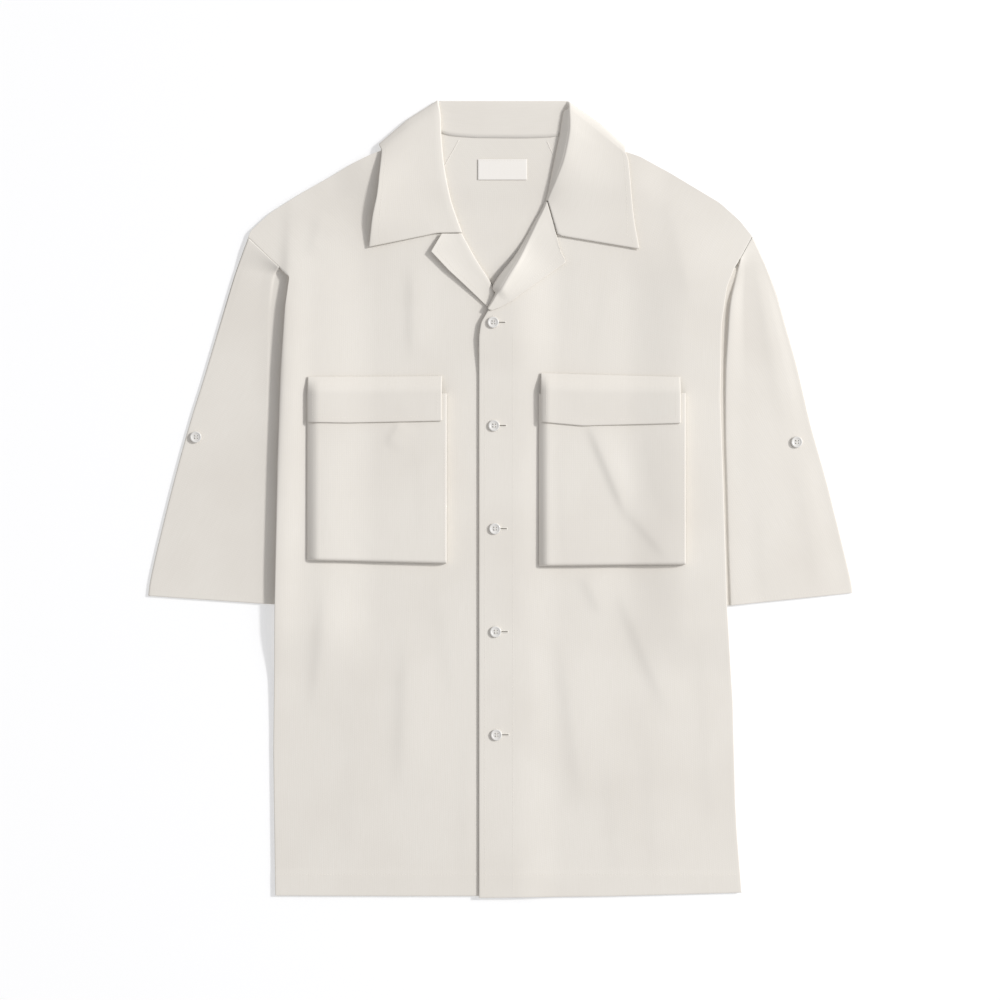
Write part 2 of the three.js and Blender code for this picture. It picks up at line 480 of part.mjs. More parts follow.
// A ring round the sleeve, from the tucked fold out along the under layer and back over the upper one.
function sleeveRing(row) {
  const [outer, crest, inner] = [row.outer, row.crest, row.inner].map(([x, y]) => new THREE.Vector3(x, y, 0));
  const inwards = inner.clone().sub(outer).normalize();
  const low = (p) => p.setZ(BACK_Z);
  const start = inner.clone().addScaledVector(inwards, -SLEEVE_TURN - CLOTH / 2);
  const end = outer.clone().addScaledVector(inwards, SLEEVE_TURN + CLOTH / 2);
  const points = spread(9).map((t) => low(start.clone().lerp(end, t)));
  const bend = (centre, way, from, to) => {
    for (const t of [0.25, 0.5, 0.75]) {
      const angle = mix(from, to, t) * Math.PI;
      const p = centre.clone().addScaledVector(way, SLEEVE_TURN * Math.cos(angle));
      points.push(p.setZ(BACK_Z + SLEEVE_TURN + SLEEVE_TURN * Math.sin(angle)));
    }
  };
  bend(end, inwards.clone().negate(), -0.5, 0.5);
  const reach = crest.distanceTo(outer);
  const first = (SLEEVE_TURN + CLOTH / 2) / reach;
  for (const t of spread(9)) points.push(sleeveFront(row, mix(first, 1, t)));
  for (const [t, rise] of [[0.5, 0.5], [1, 0]]) {
    const p = crest.clone().addScaledVector(inwards, SLEEVE_DROP * t);
    points.push(p.setZ(BACK_Z + FOLD_PLY + row.rise * rise));
  }
  const valley = crest.clone().addScaledVector(inwards, SLEEVE_DROP);
  for (const t of [0.33, 0.66, 1]) points.push(valley.clone().lerp(start, t).setZ(BACK_Z + FOLD_PLY));
  bend(start, inwards, 0.5, -0.5);
  return points;
}

function sleeveRowsFiner(side) {
  const rows = SLEEVE_ROWS[side];
  const out = [];
  for (let k = 0; k + 1 < rows.length; k++)
    for (const t of k === 0 ? [0, 0.5] : [0]) {
      const row = { rise: mix(rows[k].rise, rows[k + 1].rise, t), joined: k === 0 ? 1 - t : 0 };
      for (const key of ["outer", "crest", "inner"])
        row[key] = [0, 1].map((n) => mix(rows[k][key][n], rows[k + 1][key][n], t));
      out.push(row);
    }
  return [...out, rows.at(-1)];
}

const sleeve = (side) => wall(sleeveRowsFiner(side).map(sleeveRing), CLOTH, { ring: true });

// The face of a pocket's bag above the front, with a slope at each side and at the foot.
function pocketHeight(pocket, u, v) {
  const across = u * (pocket.x[1] - pocket.x[0]);
  const fromRight = (1 - u) * (pocket.x[1] - pocket.x[0]);
  const depth = pocket.mouth - pocket.bottom[0];
  const sides = Math.min(1, across / pocket.slope[0], fromRight / pocket.slope[1], ((1 - v) * depth) / pocket.foot);
  return mix(pocket.high[0], pocket.high[1], v) * sides;
}

function pocketPoint(side, u, v) {
  const pocket = POCKETS[side];
  const x = mix(pocket.x[0], pocket.x[1], u);
  const y = mix(pocket.mouth, mix(pocket.bottom[0], pocket.bottom[1], u), v);
  const face = pocketHeight(pocket, u, v);
  const full = face / mix(pocket.high[0], pocket.high[1], v);
  return new THREE.Vector3(x, y, frontZ[side](x, y) + FOLD_PLY + face + full * ridgesAt(pocket.creases, x, y));
}

function pocketBag(side) {
  const pocket = POCKETS[side];
  const width = pocket.x[1] - pocket.x[0];
  const depth = pocket.mouth - pocket.bottom[0];
  const [first, last] = [pocket.slope[0] / width, 1 - pocket.slope[1] / width];
  const columns = [0, first / 2, ...spread(12).map((t) => mix(first, last, t)), 1];
  const foot = 1 - pocket.foot / depth;
  const downs = [...spread(12).map((t) => foot * t), 1];
  const grid = downs.map((v) => columns.map((u) => pocketPoint(side, u, v)));
  return wall(grid, CLOTH);
}

// The flap is sewn along its top edge, climbs over the mouth of the bag and lies on its face and its wide slope.
function flapPoint(side, u, v) {
  const { x: xs, top, hem } = POCKETS[side].flap;
  const x = mix(xs[0], xs[1], u);
  const past = (u - FLAP_POINT) / (1 - FLAP_POINT);
  const foot = past < 0 ? mix(hem[0], hem[1], u / FLAP_POINT) : mix(hem[1], hem[2], past);
  const y = mix(mix(top[0], top[1], u), foot, v);
  const pocket = POCKETS[side];
  const onFace = Math.min(1, Math.max(0, x - pocket.x[0]) / pocket.slope[0]);
  const rise = mix(FOLD_PLY, pocket.high[0] + OVER_BAG + CLOTH, onFace) * smooth(...FLAP_CLIMB, v);
  return new THREE.Vector3(x, y, frontZ[side](x, y) + CLOTH / 2 + SEAM + FLAP_THICK / 2 + rise);
}

function pocketFlap(side) {
  const { x, slope, flap } = POCKETS[side];
  const first = (x[0] + slope[0] - flap.x[0]) / (flap.x[1] - flap.x[0]);
  const columns = [0, first / 2, ...spread(FLAP_COLUMNS).map((t) => mix(first, 1, t))];
  const grid = spread(7).map((v) => columns.map((u) => flapPoint(side, u, v)));
  return wall(grid, FLAP_THICK);
}

const wasm = await Module();
wasm.setup();

function solidOf(geometry) {
  geometry.deleteAttribute("normal");
  geometry.deleteAttribute("uv");
  const merged = mergeVertices(geometry, 1e-4);
  const vertProperties = merged.attributes.position.array;
  const triVerts = new Uint32Array(merged.index.array);
  return new wasm.Manifold(new wasm.Mesh({ numProp: 3, vertProperties, triVerts }));
}

// A sewn-on button with a raised rim and four thread holes, lying flat at the origin.
function buttonBody() {
  const { radius, thick, rim, hole, spread: apart } = BUTTON;
  const profile = [
    [0, 0], [radius * 0.8, 0], [radius, thick * 0.4], [radius, thick * 0.75], [radius * 0.9, thick],
    [radius * 0.68, thick], [radius * 0.58, thick - rim], [0, thick - rim],
  ].map(([r, z]) => new THREE.Vector2(r, z));
  let disc = solidOf(new THREE.LatheGeometry(profile, 14).rotateX(Math.PI / 2));
  for (const [sx, sy] of [[1, 1], [1, -1], [-1, 1], [-1, -1]]) {
    const bore = new THREE.CylinderGeometry(hole, hole, thick * 3, 4).rotateX(Math.PI / 2);
    disc = disc.subtract(solidOf(bore.translate(sx * apart, sy * apart, thick / 2)));
  }
  const mesh = disc.getMesh();
  return closedBody(Array.from(mesh.vertProperties), Array.from(mesh.triVerts));
}

function label() {
  const grid = spread(LABEL.cells[1] + 1).map((v) =>
    spread(LABEL.cells[0] + 1).map((u) => {
      const [x, y] = [mix(...LABEL.x, u), mix(...LABEL.y, v)];
      return new THREE.Vector3(x, y, backZ(x, y) + CLOTH / 2 + SEAM + LABEL.thick / 2);
    }),
  );
  return wall(grid, LABEL.thick, { upright: true });
}

const material = (color, roughness) => new THREE.MeshStandardMaterial({ color, roughness, metalness: 0 });
const poplin = material(0xe4dfd7, 0.85);
const shell = material(0xb9b7b4, 0.3);
const tape = material(0xf3efe8, 0.7);

const shirt = new THREE.Group();
function add(name, geometry, finish) {
  const mesh = new THREE.Mesh(geometry, finish);
  mesh.name = name;
  shirt.add(mesh);
  return mesh;
}

const UNDER_PLACKET = [[-8, 188], [4, 172], [12, 160], [12, -396.8]];
const OVER_PLACKET = [[-19.5, 177], [-21.5, 163], [-21.5, -398.5]];

add("back", backPanel(), poplin);
add("front_right", frontPanel("right", UNDER_PLACKET, [-105, -397]), poplin);
add("front_left", frontPanel("left", OVER_PLACKET, [105, -397.2]), poplin);
add("collar", collarStrip(), poplin);
for (const side of ["right", "left"]) {
  add(`sleeve_${side}`, sleeve(side), poplin);
  add(`facing_${side}`, lapel(side), poplin);
  add(`pocket_${side}`, pocketBag(side), poplin);
  add(`flap_${side}`, pocketFlap(side), poplin);
}
add("neck_label", label(), tape);

// A button lies on the cloth at a point, on the highest spot that it covers.
function addButton(name, at, top) {
  const button = add(name, buttonBody(), shell);
  button.position.set(at[0], at[1], top + CLOTH / 2 + BUTTON.clear);
}
for (let k = 0; k < 5; k++) {
  const [x, y] = [FIRST_BUTTON.x + k * BUTTON_LEAN, FIRST_BUTTON.y - k * BUTTON_PITCH];
  addButton(`button_front_${k + 1}`, [x, y], frontZ.left(x, y));
}
const BUTTON_ROW = 5; // the sleeve's row above its button
const BUTTON_SHARE = 0.16; // and where the button lies across it
for (const [side, at] of Object.entries(SLEEVE_BUTTONS)) {
  const under = sleeveFront(SLEEVE_ROWS[side][BUTTON_ROW], BUTTON_SHARE);
  addButton(`button_sleeve_${side}`, at, under.z);
}

export default shirt;
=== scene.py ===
# %% [markdown]
# # A camp-collar utility shirt, laid flat
#
# The shirt is off-white cotton poplin. Each cut piece is made here as a thin wall of cloth about a middle
# surface, in the place of its plain solid in the frame, and then the sewing, the buttons and the finish are added.

# %% Load the frame
import bmesh
import bpy
import numpy as np
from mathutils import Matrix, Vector


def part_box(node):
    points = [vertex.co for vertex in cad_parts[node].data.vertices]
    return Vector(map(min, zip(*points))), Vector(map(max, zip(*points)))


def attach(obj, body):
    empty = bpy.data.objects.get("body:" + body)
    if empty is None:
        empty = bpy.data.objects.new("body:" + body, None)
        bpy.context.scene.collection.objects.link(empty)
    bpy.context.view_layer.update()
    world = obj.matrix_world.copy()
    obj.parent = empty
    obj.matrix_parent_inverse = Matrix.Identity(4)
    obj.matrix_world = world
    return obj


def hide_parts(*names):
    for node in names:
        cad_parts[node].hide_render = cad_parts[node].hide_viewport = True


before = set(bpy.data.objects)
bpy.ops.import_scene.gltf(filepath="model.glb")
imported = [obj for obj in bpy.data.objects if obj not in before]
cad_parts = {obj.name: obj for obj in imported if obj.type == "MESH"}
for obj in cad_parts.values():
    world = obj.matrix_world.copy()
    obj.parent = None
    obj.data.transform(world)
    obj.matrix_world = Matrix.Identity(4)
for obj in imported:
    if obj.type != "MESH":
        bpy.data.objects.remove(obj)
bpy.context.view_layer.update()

# %% [markdown]
# The camera looks straight down on a flat lay. A long lens far away keeps the rows of the shirt parallel, as a
# studio does. One pixel of the 1000 x 1000 picture is one millimetre at the cloth.

# %% Camera
MM = 0.001
VIEW_MM = 1000.0
LENS_MM, SENSOR_MM = 90.0, 36.0
VIEW_CENTRE = (-0.5, -0.5)
CLOTH_LEVEL_MM = 6.0

camera = bpy.data.objects.new("camera", bpy.data.cameras.new("camera"))
camera.data.lens = LENS_MM
camera.data.sensor_width = SENSOR_MM
height_mm = VIEW_MM * LENS_MM / SENSOR_MM + CLOTH_LEVEL_MM
camera.location = (VIEW_CENTRE[0] * MM, VIEW_CENTRE[1] * MM, height_mm * MM)
bpy.context.scene.collection.objects.link(camera)
bpy.context.scene.camera = camera
print("camera height, m:", round(height_mm * MM, 3))

# %% [markdown]
# The photo's light is a large soft source from the right and a little from the collar end, over an even fill.
# A sun lamp 33 degrees up gives the shadows, and its width of 6 degrees softens their edges. A pale world and a
# weak softbox give the fill, so that a slope that faces left falls to about half the brightness of the flat
# cloth. The paper floor glows a little, which keeps it white beside the shirt.

# %% Light and floor
SUN_FROM = (0.80, 0.30, 0.56)
SUN_STRENGTH = 2.19
SUN_ANGLE_DEG = 6.0
FILL_STRENGTH = 0.50
SOFTBOX_AT, SOFTBOX_M, SOFTBOX_WATTS = (1.3, 0.2, 1.0), 1.0, 6.0
FLOOR_REACH_M, FLOOR_Z_M, FLOOR_GLOW = 30.0, -2e-4, 0.42

def linear(hex_colour):
    """The linear value of each sRGB channel, by the standard's straight part and its 2.4 power part."""
    c = np.array([int(hex_colour[k:k + 2], 16) for k in (1, 3, 5)]) / 255
    return (*np.where(c <= 0.04045, c / 12.92, ((c + 0.055) / 1.055) ** 2.4), 1.0)

def node(tree, kind, links=(), **settings):
    """Adds a shader node: settings name its properties or input sockets, links are (socket, output) pairs."""
    made = tree.nodes.new(kind)
    for name, value in settings.items():
        if hasattr(made, name):
            setattr(made, name, value)
        else:
            made.inputs[name.replace("_", " ")].default_value = value
    for socket, output in links:
        tree.links.new(output, made.inputs[socket])
    return made

def blend(tree, factor, first, second):
    """The colour between two, by a factor. Each of them is an sRGB hex value or a node's output."""
    made = node(tree, "ShaderNodeMix", [("Factor", factor)], data_type="RGBA")
    for socket, colour in (("A", first), ("B", second)):
        if isinstance(colour, str):
            made.inputs[socket].default_value = linear(colour)
        else:
            tree.links.new(colour, made.inputs[socket])
    return made.outputs["Result"]

def noise(tree, vector=None, **settings):
    """Noise over a vector, or over the object's own coordinates in metres where none is given."""
    if vector is None:
        vector = node(tree, "ShaderNodeTexCoord").outputs["Object"]
    return node(tree, "ShaderNodeTexNoise", [("Vector", vector)], **settings).outputs["Fac"]

def new_material(name):
    made = bpy.data.materials.new(name)
    made.use_nodes = True
    made.node_tree.nodes.clear()
    return made, made.node_tree

def finish_material(tree, links=(), **settings):
    """Adds the shader, with its links and its own sockets' values, and joins it to the output."""
    shader = node(tree, "ShaderNodeBsdfPrincipled", links, **settings)
    node(tree, "ShaderNodeOutputMaterial", [("Surface", shader.outputs["BSDF"])])

def add_lamp(name, kind, at, **settings):
    """A lamp that stands at a point and looks back at the origin."""
    lamp = bpy.data.objects.new(name, bpy.data.lights.new(name, kind))
    for key, value in settings.items():
        setattr(lamp.data, key, value)
    lamp.location = at
    lamp.rotation_euler = Vector(at).to_track_quat("Z", "Y").to_euler()
    bpy.context.scene.collection.objects.link(lamp)

add_lamp("key_light", "SUN", SUN_FROM, energy=SUN_STRENGTH, angle=np.radians(SUN_ANGLE_DEG))
add_lamp("softbox", "AREA", SOFTBOX_AT, energy=SOFTBOX_WATTS, size=SOFTBOX_M)

world = bpy.data.worlds.new("studio")
world.use_nodes = True
world.node_tree.nodes["Background"].inputs["Color"].default_value = linear("#FCFCFF")
world.node_tree.nodes["Background"].inputs["Strength"].default_value = FILL_STRENGTH
bpy.context.scene.world = world
bpy.context.scene.view_settings.view_transform = "Standard"

floor_mesh = bpy.data.meshes.new("floor")
corners = [(FLOOR_REACH_M * x, FLOOR_REACH_M * y, FLOOR_Z_M) for x, y in ((-1, -1), (1, -1), (1, 1), (-1, 1))]
floor_mesh.from_pydata(corners, [], [(0, 1, 2, 3)])
floor = bpy.data.objects.new("floor", floor_mesh)
bpy.context.scene.collection.objects.link(floor)
paper, tree = new_material("white_paper_floor")
finish_material(tree, Base_Color=linear("#CCCCCC"), Roughness=0.9, Emission_Color=linear("#FFFFFF"),
                Emission_Strength=FLOOR_GLOW)
floor_mesh.materials.append(paper)

# %% [markdown]
# Poplin is a fine plain weave of cotton. It is matt with a faint nap that catches grazing light, so the shader
# is rough with a little sheen. The yarns are a quarter of a millimetre apart, which no picture of the whole
# shirt shows, so the weave is drawn at 1.1 mm and kept faint, with slubs and a slow mottle over it. The
# pattern reads each piece's own UV map, laid out in metres of cloth, so it turns with the cut of the piece.

# %% Cloth material
WEAVE_MM = 1.1
COTTON = {"warp": "#E9E4DC", "weft": "#E4DFD6", "mottle": "#DED8CF", "roughness": 0.86}

def weave_material(name, colours, spacing_mm=WEAVE_MM, depth=0.09, sheen=0.12):
    """Plain weave: the bump is the sine of the UV across times the sine of the UV along."""
    made, t = new_material(name)
    uv = node(t, "ShaderNodeUVMap", uv_map="cloth")
    # a wave texture of scale s repeats every pi / (10 s), and a plain weave every two yarns
    turns = 1 / (spacing_mm * MM) / 20 * np.pi
    yarn_waves = [node(t, "ShaderNodeTexWave", [("Vector", uv.outputs["UV"])], bands_direction=way, Scale=turns,
                       Distortion=0.6, Detail=1.0).outputs["Fac"] for way in "XY"]
    crossing = node(t, "ShaderNodeMath", enumerate(yarn_waves), operation="MULTIPLY")
    stretch = node(t, "ShaderNodeMapping", [("Vector", uv.outputs["UV"])], Scale=(700.0, 45.0, 1.0))
    slub = noise(t, stretch.outputs["Vector"], Scale=1.0, Detail=2.0)
    patches = noise(t, Scale=9.0, Detail=3.0)
    yarns = blend(t, slub, colours["warp"], colours["weft"])
    amount = node(t, "ShaderNodeMapRange", [("Value", patches)], From_Min=0.42, From_Max=0.72, To_Min=0.0,
                  To_Max=0.55)
    aged = blend(t, amount.outputs["Result"], yarns, colours["mottle"])
    fuzz = noise(t, Scale=600.0, Detail=2.0)
    relief = node(t, "ShaderNodeMath", [(0, crossing.outputs[0]), (1, fuzz)], operation="ADD")
    bump = node(t, "ShaderNodeBump", [("Height", relief.outputs[0])], Strength=depth, Distance=0.0003)
    finish_material(t, [("Base Color", aged), ("Normal", bump.outputs["Normal"])], Roughness=colours["roughness"],
                    Sheen_Weight=sheen, Sheen_Roughness=0.5, Specular_IOR_Level=0.25)
    return made

poplin = weave_material("cotton_poplin_woven", COTTON)

# %% [markdown]
# Every piece of cloth starts as a grid of middle points, in millimetres. The wall is that grid moved half a
# thickness to each side and closed round its edge. Its outermost loops are thinner, so that a cut edge is
# rounded as a turned hem is, and the UV map holds the lengths measured along the grid.

# %% Walls of cloth
CLOTH = 1.2
COLLAR = 1.6
THIN = 0.9  # how much of a solid's thickness the seen cloth takes
EDGE_LOOPS = ((0.0, 0.35), (0.22, 0.68), (0.6, 0.9), (1.3, 1.0))  # mm in from the edge, share of thickness

def unit(v):
    return v / np.maximum(np.linalg.norm(v, axis=-1, keepdims=True), 1e-9)

def stacked(*parts):
    """Numbers and arrays spread to one shape and joined into points."""
    return np.stack(np.broadcast_arrays(*parts), -1)

def run_lengths(line):
    """The length of a broken line from its start to each of its points."""
    return np.concatenate([[0], np.linalg.norm(np.diff(line, axis=0), axis=1).cumsum()])

def ring_cells(rows, columns):
    """The faces of a tube of points, row by row, and the index of each point."""
    index = np.arange(rows * columns).reshape(rows, columns)
    after = np.roll(index, -1, 1)
    return np.stack([index[:-1], index[1:], after[1:], after[:-1]], -1).reshape(-1, 4), index

def stations(length_mm, cell_mm):
    """Shares from 0 to 1 a cell apart, with the edge loops at both ends, and the thickness share at each."""
    inner = np.linspace(0, 1, max(3, int(round(length_mm / cell_mm)) + 1))
    first = np.array([d for d, _ in EDGE_LOOPS]) / length_mm
    inner = inner[(inner > first[-1] * 1.4) & (inner < 1 - first[-1] * 1.4)]
    shares = np.array([s for _, s in EDGE_LOOPS])
    return (np.concatenate([first, inner, 1 - first[::-1]]),
            np.concatenate([shares, np.ones(len(inner)), shares[::-1]]))

def grid_normals(grid, ring):
    """The cross product of the differences across and along, each taken over both neighbours."""
    if ring:
        across = np.roll(grid, -1, 1) - np.roll(grid, 1, 1)
    else:
        across = np.gradient(grid, axis=1)
    return unit(np.cross(across, np.gradient(grid, axis=0)))

def wall(name, grid, thick, shares, ring=False, upright=False, material=None):
    """A closed mesh: grid plus and minus half the thickness times the normal, joined round the open edges."""
    rows, cols = grid.shape[:2]
    normal = np.broadcast_to([0.0, 0.0, 1.0], grid.shape) if upright else grid_normals(grid, ring)
    half = thick / 2 * shares
    points = np.concatenate([(grid + s * half[..., None] * normal).reshape(-1, 3) for s in (1, -1)])
    index = np.arange(rows * cols).reshape(rows, cols)
    right = np.roll(index, -1, 1) if ring else index[:, 1:]
    left = index if ring else index[:, :-1]
    cells = np.stack([left[:-1], right[:-1], right[1:], left[1:]], -1).reshape(-1, 4)
    loops = [(left[0], right[0]), (right[-1], left[-1])]
    if not ring:
        loops += [(index[1:, 0], index[:-1, 0]), (index[:-1, -1], index[1:, -1])]
    under = rows * cols
    rims = [np.stack([a, a + under, b + under, b], -1).reshape(-1, 4) for a, b in loops]
    faces = np.concatenate([cells, cells[:, ::-1] + under, *rims])
    a, b, c = (points[faces[:, k]] for k in (0, 1, 2))
    d = points[faces[:, 3]]
    if (np.cross(b - a, c - a) * a).sum() + (np.cross(c - a, d - a) * a).sum() < 0:
        faces = faces[:, ::-1]
    steps = [np.linalg.norm(np.diff(grid, axis=k), axis=-1) for k in (1, 0)]
    lengths = [np.concatenate([np.zeros((rows, 1)), steps[0].cumsum(1)], 1),
               np.concatenate([np.zeros((1, cols)), steps[1].cumsum(0)], 0)]
    uv = np.tile(np.stack(lengths, -1).reshape(-1, 2), (2, 1)) * MM
    return add_mesh(name, points, faces, uv, material)

def add_mesh(name, points_mm, faces, uv=None, material=None):
    mesh = bpy.data.meshes.new(name)
    mesh.from_pydata((np.asarray(points_mm) * MM).tolist(), [], np.asarray(faces).tolist())
    mesh.polygons.foreach_set("use_smooth", np.ones(len(mesh.polygons), bool))
    if uv is not None:
        corner = np.empty(len(mesh.loops), int)
        mesh.loops.foreach_get("vertex_index", corner)
        mesh.uv_layers.new(name="cloth").data.foreach_set("uv", uv[corner].ravel())
    mesh.materials.append(material or poplin)
    piece = bpy.data.objects.new(name, mesh)
    bpy.context.scene.collection.objects.link(piece)
    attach(piece, "root")
    return piece

def surface_area(piece):
    areas = np.empty(len(piece.data.polygons))
    piece.data.polygons.foreach_get("area", areas)
    return areas.sum()

def declare_cloth(piece, node_name):
    """The piece stands for its solid, which is hidden, and the area a side of the cut that shows is printed."""
    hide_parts(node_name)
    print(node_name, "cloth, square metres a side:", round(surface_area(piece) / 2, 4))

# %% [markdown]
# The body's outline is a few rows of points for each side. They are read as a curve by its share of length,
# a little softened where two straight stretches meet, because cloth has no hard corner there.

# %% Outline of the body
SIDE = {
    "right": [[-252.6, 262.5], [-232.5, 243], [-210.8, 223], [-215.2, 192.5], [-219.5, 127.5], [-222.5, 39.5],
              [-225.5, -104.5], [-227.5, -250.5], [-225.5, -396.5]],
    "left": [[251.8, 263.5], [243, 247], [234, 231.5], [226.5, 212.5], [221, 174.5], [219.7, 99.5],
             [222.5, 22.5], [226.5, -107.5], [232.5, -200.5], [235, -300.5], [236.8, -335], [241.5, -393.5]],
}
SHOULDER = {
    "right": [[-252.6, 262.5], [-250.3, 268.8], [-230.5, 287], [-200.5, 306], [-170.5, 323], [-150.5, 335],
              [-130.5, 345], [-121.5, 348.3], [-113.5, 350.7], [-75.5, 371.5]],
    "left": [[251.8, 263.5], [239.5, 279.2], [219.5, 297], [199.5, 309], [169.5, 327], [139.5, 343], [127, 347.2],
             [118, 349.4], [79, 370.5]],
}
BACK_NECK = [[-63.5, 367.6], [-50.6, 363.3], [-25, 361.4], [0, 361.2], [25, 361.1], [52.6, 362.1], [67.8, 366.6]]

def along(rows, share, soften_mm=5.0):
    """Points at shares of a broken line's length, after a running mean of the line over soften_mm each way."""
    rows = np.asarray(rows, float)
    at = run_lengths(rows)
    fine = np.linspace(0, at[-1], max(8, int(at[-1])) + 1)
    line = np.stack([np.interp(fine, at, rows[:, k]) for k in (0, 1)], -1)
    width = int(soften_mm)
    if width:
        padded = np.concatenate([2 * line[0] - line[width:0:-1], line, 2 * line[-1] - line[-2:-width - 2:-1]])
        kernel = np.ones(2 * width + 1) / (2 * width + 1)
        line = np.stack([np.convolve(padded[:, k], kernel, "valid") for k in (0, 1)], -1)
    return np.stack([np.interp(np.asarray(share) * at[-1], fine, line[:, k]) for k in (0, 1)], -1)

def patch(top, foot, first, last, u, v):
    """Points between four edges: the blend across plus the blend down, less the blend of the corners."""
    u, v = u[None, :, None], v[:, None, None]
    corner = ((1 - u) * (1 - v) * top[0] + u * (1 - v) * top[-1] + (1 - u) * v * foot[0] + u * v * foot[-1])
    return (1 - v) * top[None] + v * foot[None] + (1 - u) * first[:, None] + u * last[:, None] - corner

# %% [markdown]
# Cloth that lies on something shows it. The back rises over the collar's fall and the tucked sleeves, the
# fronts rise with the back, and soft folds lie across them. Each fold is a ridge with the section of a bell,
# full along its line and faded at its ends. A low, slow ripple stands for the way that pressed cloth relaxes.

# %% Heights of the cloth
PLY, FOLD_PLY, SEAM = 2.1, 1.6, 0.35
RAMP = 38  # how far cloth takes to climb over what lies under it
FALL_RISE, FALL_FOOT_Y, FALL_END_X = 2.1, 322, 132  # over the collar's fall, which lies above y and within x
TUCK_RISE, TUCK_X, TUCK_RAMP = 4.4, 186, 62  # over the tucked sleeves, which lie outside x
TUCK_TOP_Y, SLEEVE_HEM_Y = 216, -108
LAP_RISE, LAP_X, LAP_Y = 2.3, (14, 62), (225, 262)  # over the placket, gone at the second x and the second y
CROSSING_RISE, CROSSING_X = 2.1, (8, 60)  # over the right lapel, between two ramps in y
CROSSING_LOW_Y, CROSSING_HIGH_Y = (120, 165), (222, 255)
HEM_MM, HEM_Y, HEM_RISE, HEM_EDGE = 24, -397, 0.3, 1.5  # the turned hem is this deep and lies this much higher
FOLDS = [  # from x, y to x, y, half width on the steep side and height in mm
    (-87.5, 232, -87.5, 146, 6, 0.9), (-177, 284, -187, 244, 8, 0.8), (-173, -93, -185, -205, 8, 1.1),
    (-92, -148, -98, -284, 9, 1.0), (84, -75, 102, -112, 7, 0.9), (120, -91, 167, -206, 8, 1.1),
    (62, -140, 84, -302, 10, 0.9), (170, 300, 196, 190, 12, 0.8), (-210, 262, -229, -190, 7, 4.4),
]
LEEWARD = 3  # times as wide on the side towards the light
SOFT_FOLDS = [
    (-120, 330, -132, 205, 8, 0.3), (-45, 130, -40, -30, 7, 0.2), (-60, -90, -45, -200, 8, 0.3),
    (-140, -230, -150, -390, 11, 0.3), (-30, -230, -34, -390, 8, 0.25), (45, 120, 20, 40, 7, 0.2),
    (110, 220, 96, 132, 8, 0.3), (30, -120, 34, -260, 7, 0.2), (150, -220, 160, -385, 10, 0.35),
    (205, -140, 214, -330, 9, 0.35), (110, -260, 122, -380, 9, 0.3), (80, 250, 70, 180, 7, 0.2),
]

def smooth(low, high, v):
    t = np.clip((v - low) / (high - low), 0, 1)
    return t * t * (3 - 2 * t)

def ridges(folds, x, y):
    """The sum of bells: height times exp of minus (distance from the line over its width) squared.
    The side towards the light is LEEWARD times as wide, so a fold shows as one dark band, as it does on cloth."""
    total = np.zeros(np.broadcast(x, y).shape)
    for ax, ay, bx, by, wide, high in folds:
        length = np.hypot(bx - ax, by - ay)
        run = ((x - ax) * (bx - ax) + (y - ay) * (by - ay)) / length
        off = ((x - ax) * (by - ay) - (y - ay) * (bx - ax)) / length
        ends = smooth(-0.15 * length, 0.3 * length, run) * (1 - smooth(0.7 * length, 1.15 * length, run))
        total = total + high * ends * np.exp(-((off / np.where(off < 0, LEEWARD * wide, wide)) ** 2))
    return total

def ripple(x, y, size=0.16):
    """Three slow waves of unlike length and bearing, never below zero."""
    waves = np.sin(x / 31 + y / 83 + 0.4) + np.sin(x / 17 - y / 120 + 2.1) + np.sin(x / 53 + y / 37 + 4.0)
    return size * (1 + waves / 3)

def back_rise(x, y):
    over_fall = FALL_RISE * smooth(FALL_FOOT_Y - RAMP, FALL_FOOT_Y, y)
    over_fall = over_fall * (1 - smooth(FALL_END_X, FALL_END_X + RAMP, np.abs(x)))
    over_tuck = (TUCK_RISE * smooth(TUCK_X - TUCK_RAMP, TUCK_X, np.abs(x))
                 * (1 - smooth(TUCK_TOP_Y, TUCK_TOP_Y + TUCK_RAMP, y))
                 * smooth(SLEEVE_HEM_Y - 2 * RAMP, SLEEVE_HEM_Y - 0.4 * RAMP, y))
    return over_fall + over_tuck

def back_z(x, y):
    return CLOTH / 2 + back_rise(x, y)

def front_z(side, x, y):
    """The back's height and one ply, the folds, and on the left the rise over the placket and the right lapel."""
    z = back_z(x, y) + PLY + ridges(FOLDS + SOFT_FOLDS, x, y) + ripple(x, y)
    z = z + HEM_RISE * (1 - smooth(HEM_Y + HEM_MM - HEM_EDGE, HEM_Y + HEM_MM + HEM_EDGE, y))
    if side == "left":
        z = z + LAP_RISE * (1 - smooth(*LAP_X, x)) * (1 - smooth(*LAP_Y, y))
        z = z + (CROSSING_RISE * (1 - smooth(*CROSSING_X, x)) * smooth(*CROSSING_LOW_Y, y)
                 * (1 - smooth(*CROSSING_HIGH_Y, y)))
    return z

def lifted(plan, height):
    return np.concatenate([plan, height(plan[..., 0], plan[..., 1])[..., None]], -1)

# %% [markdown]
# The collar is one strip sewn to the neck. At the back it stands up and falls behind the back panel, it passes
# over each shoulder, and it ends in two open leaves. Its shape is a table of sections: where it is sewn, where
# it rolls, and two points of its fall, with the side of the stand on which the fall lies. The lapels are the
# same construction, so one function makes both.

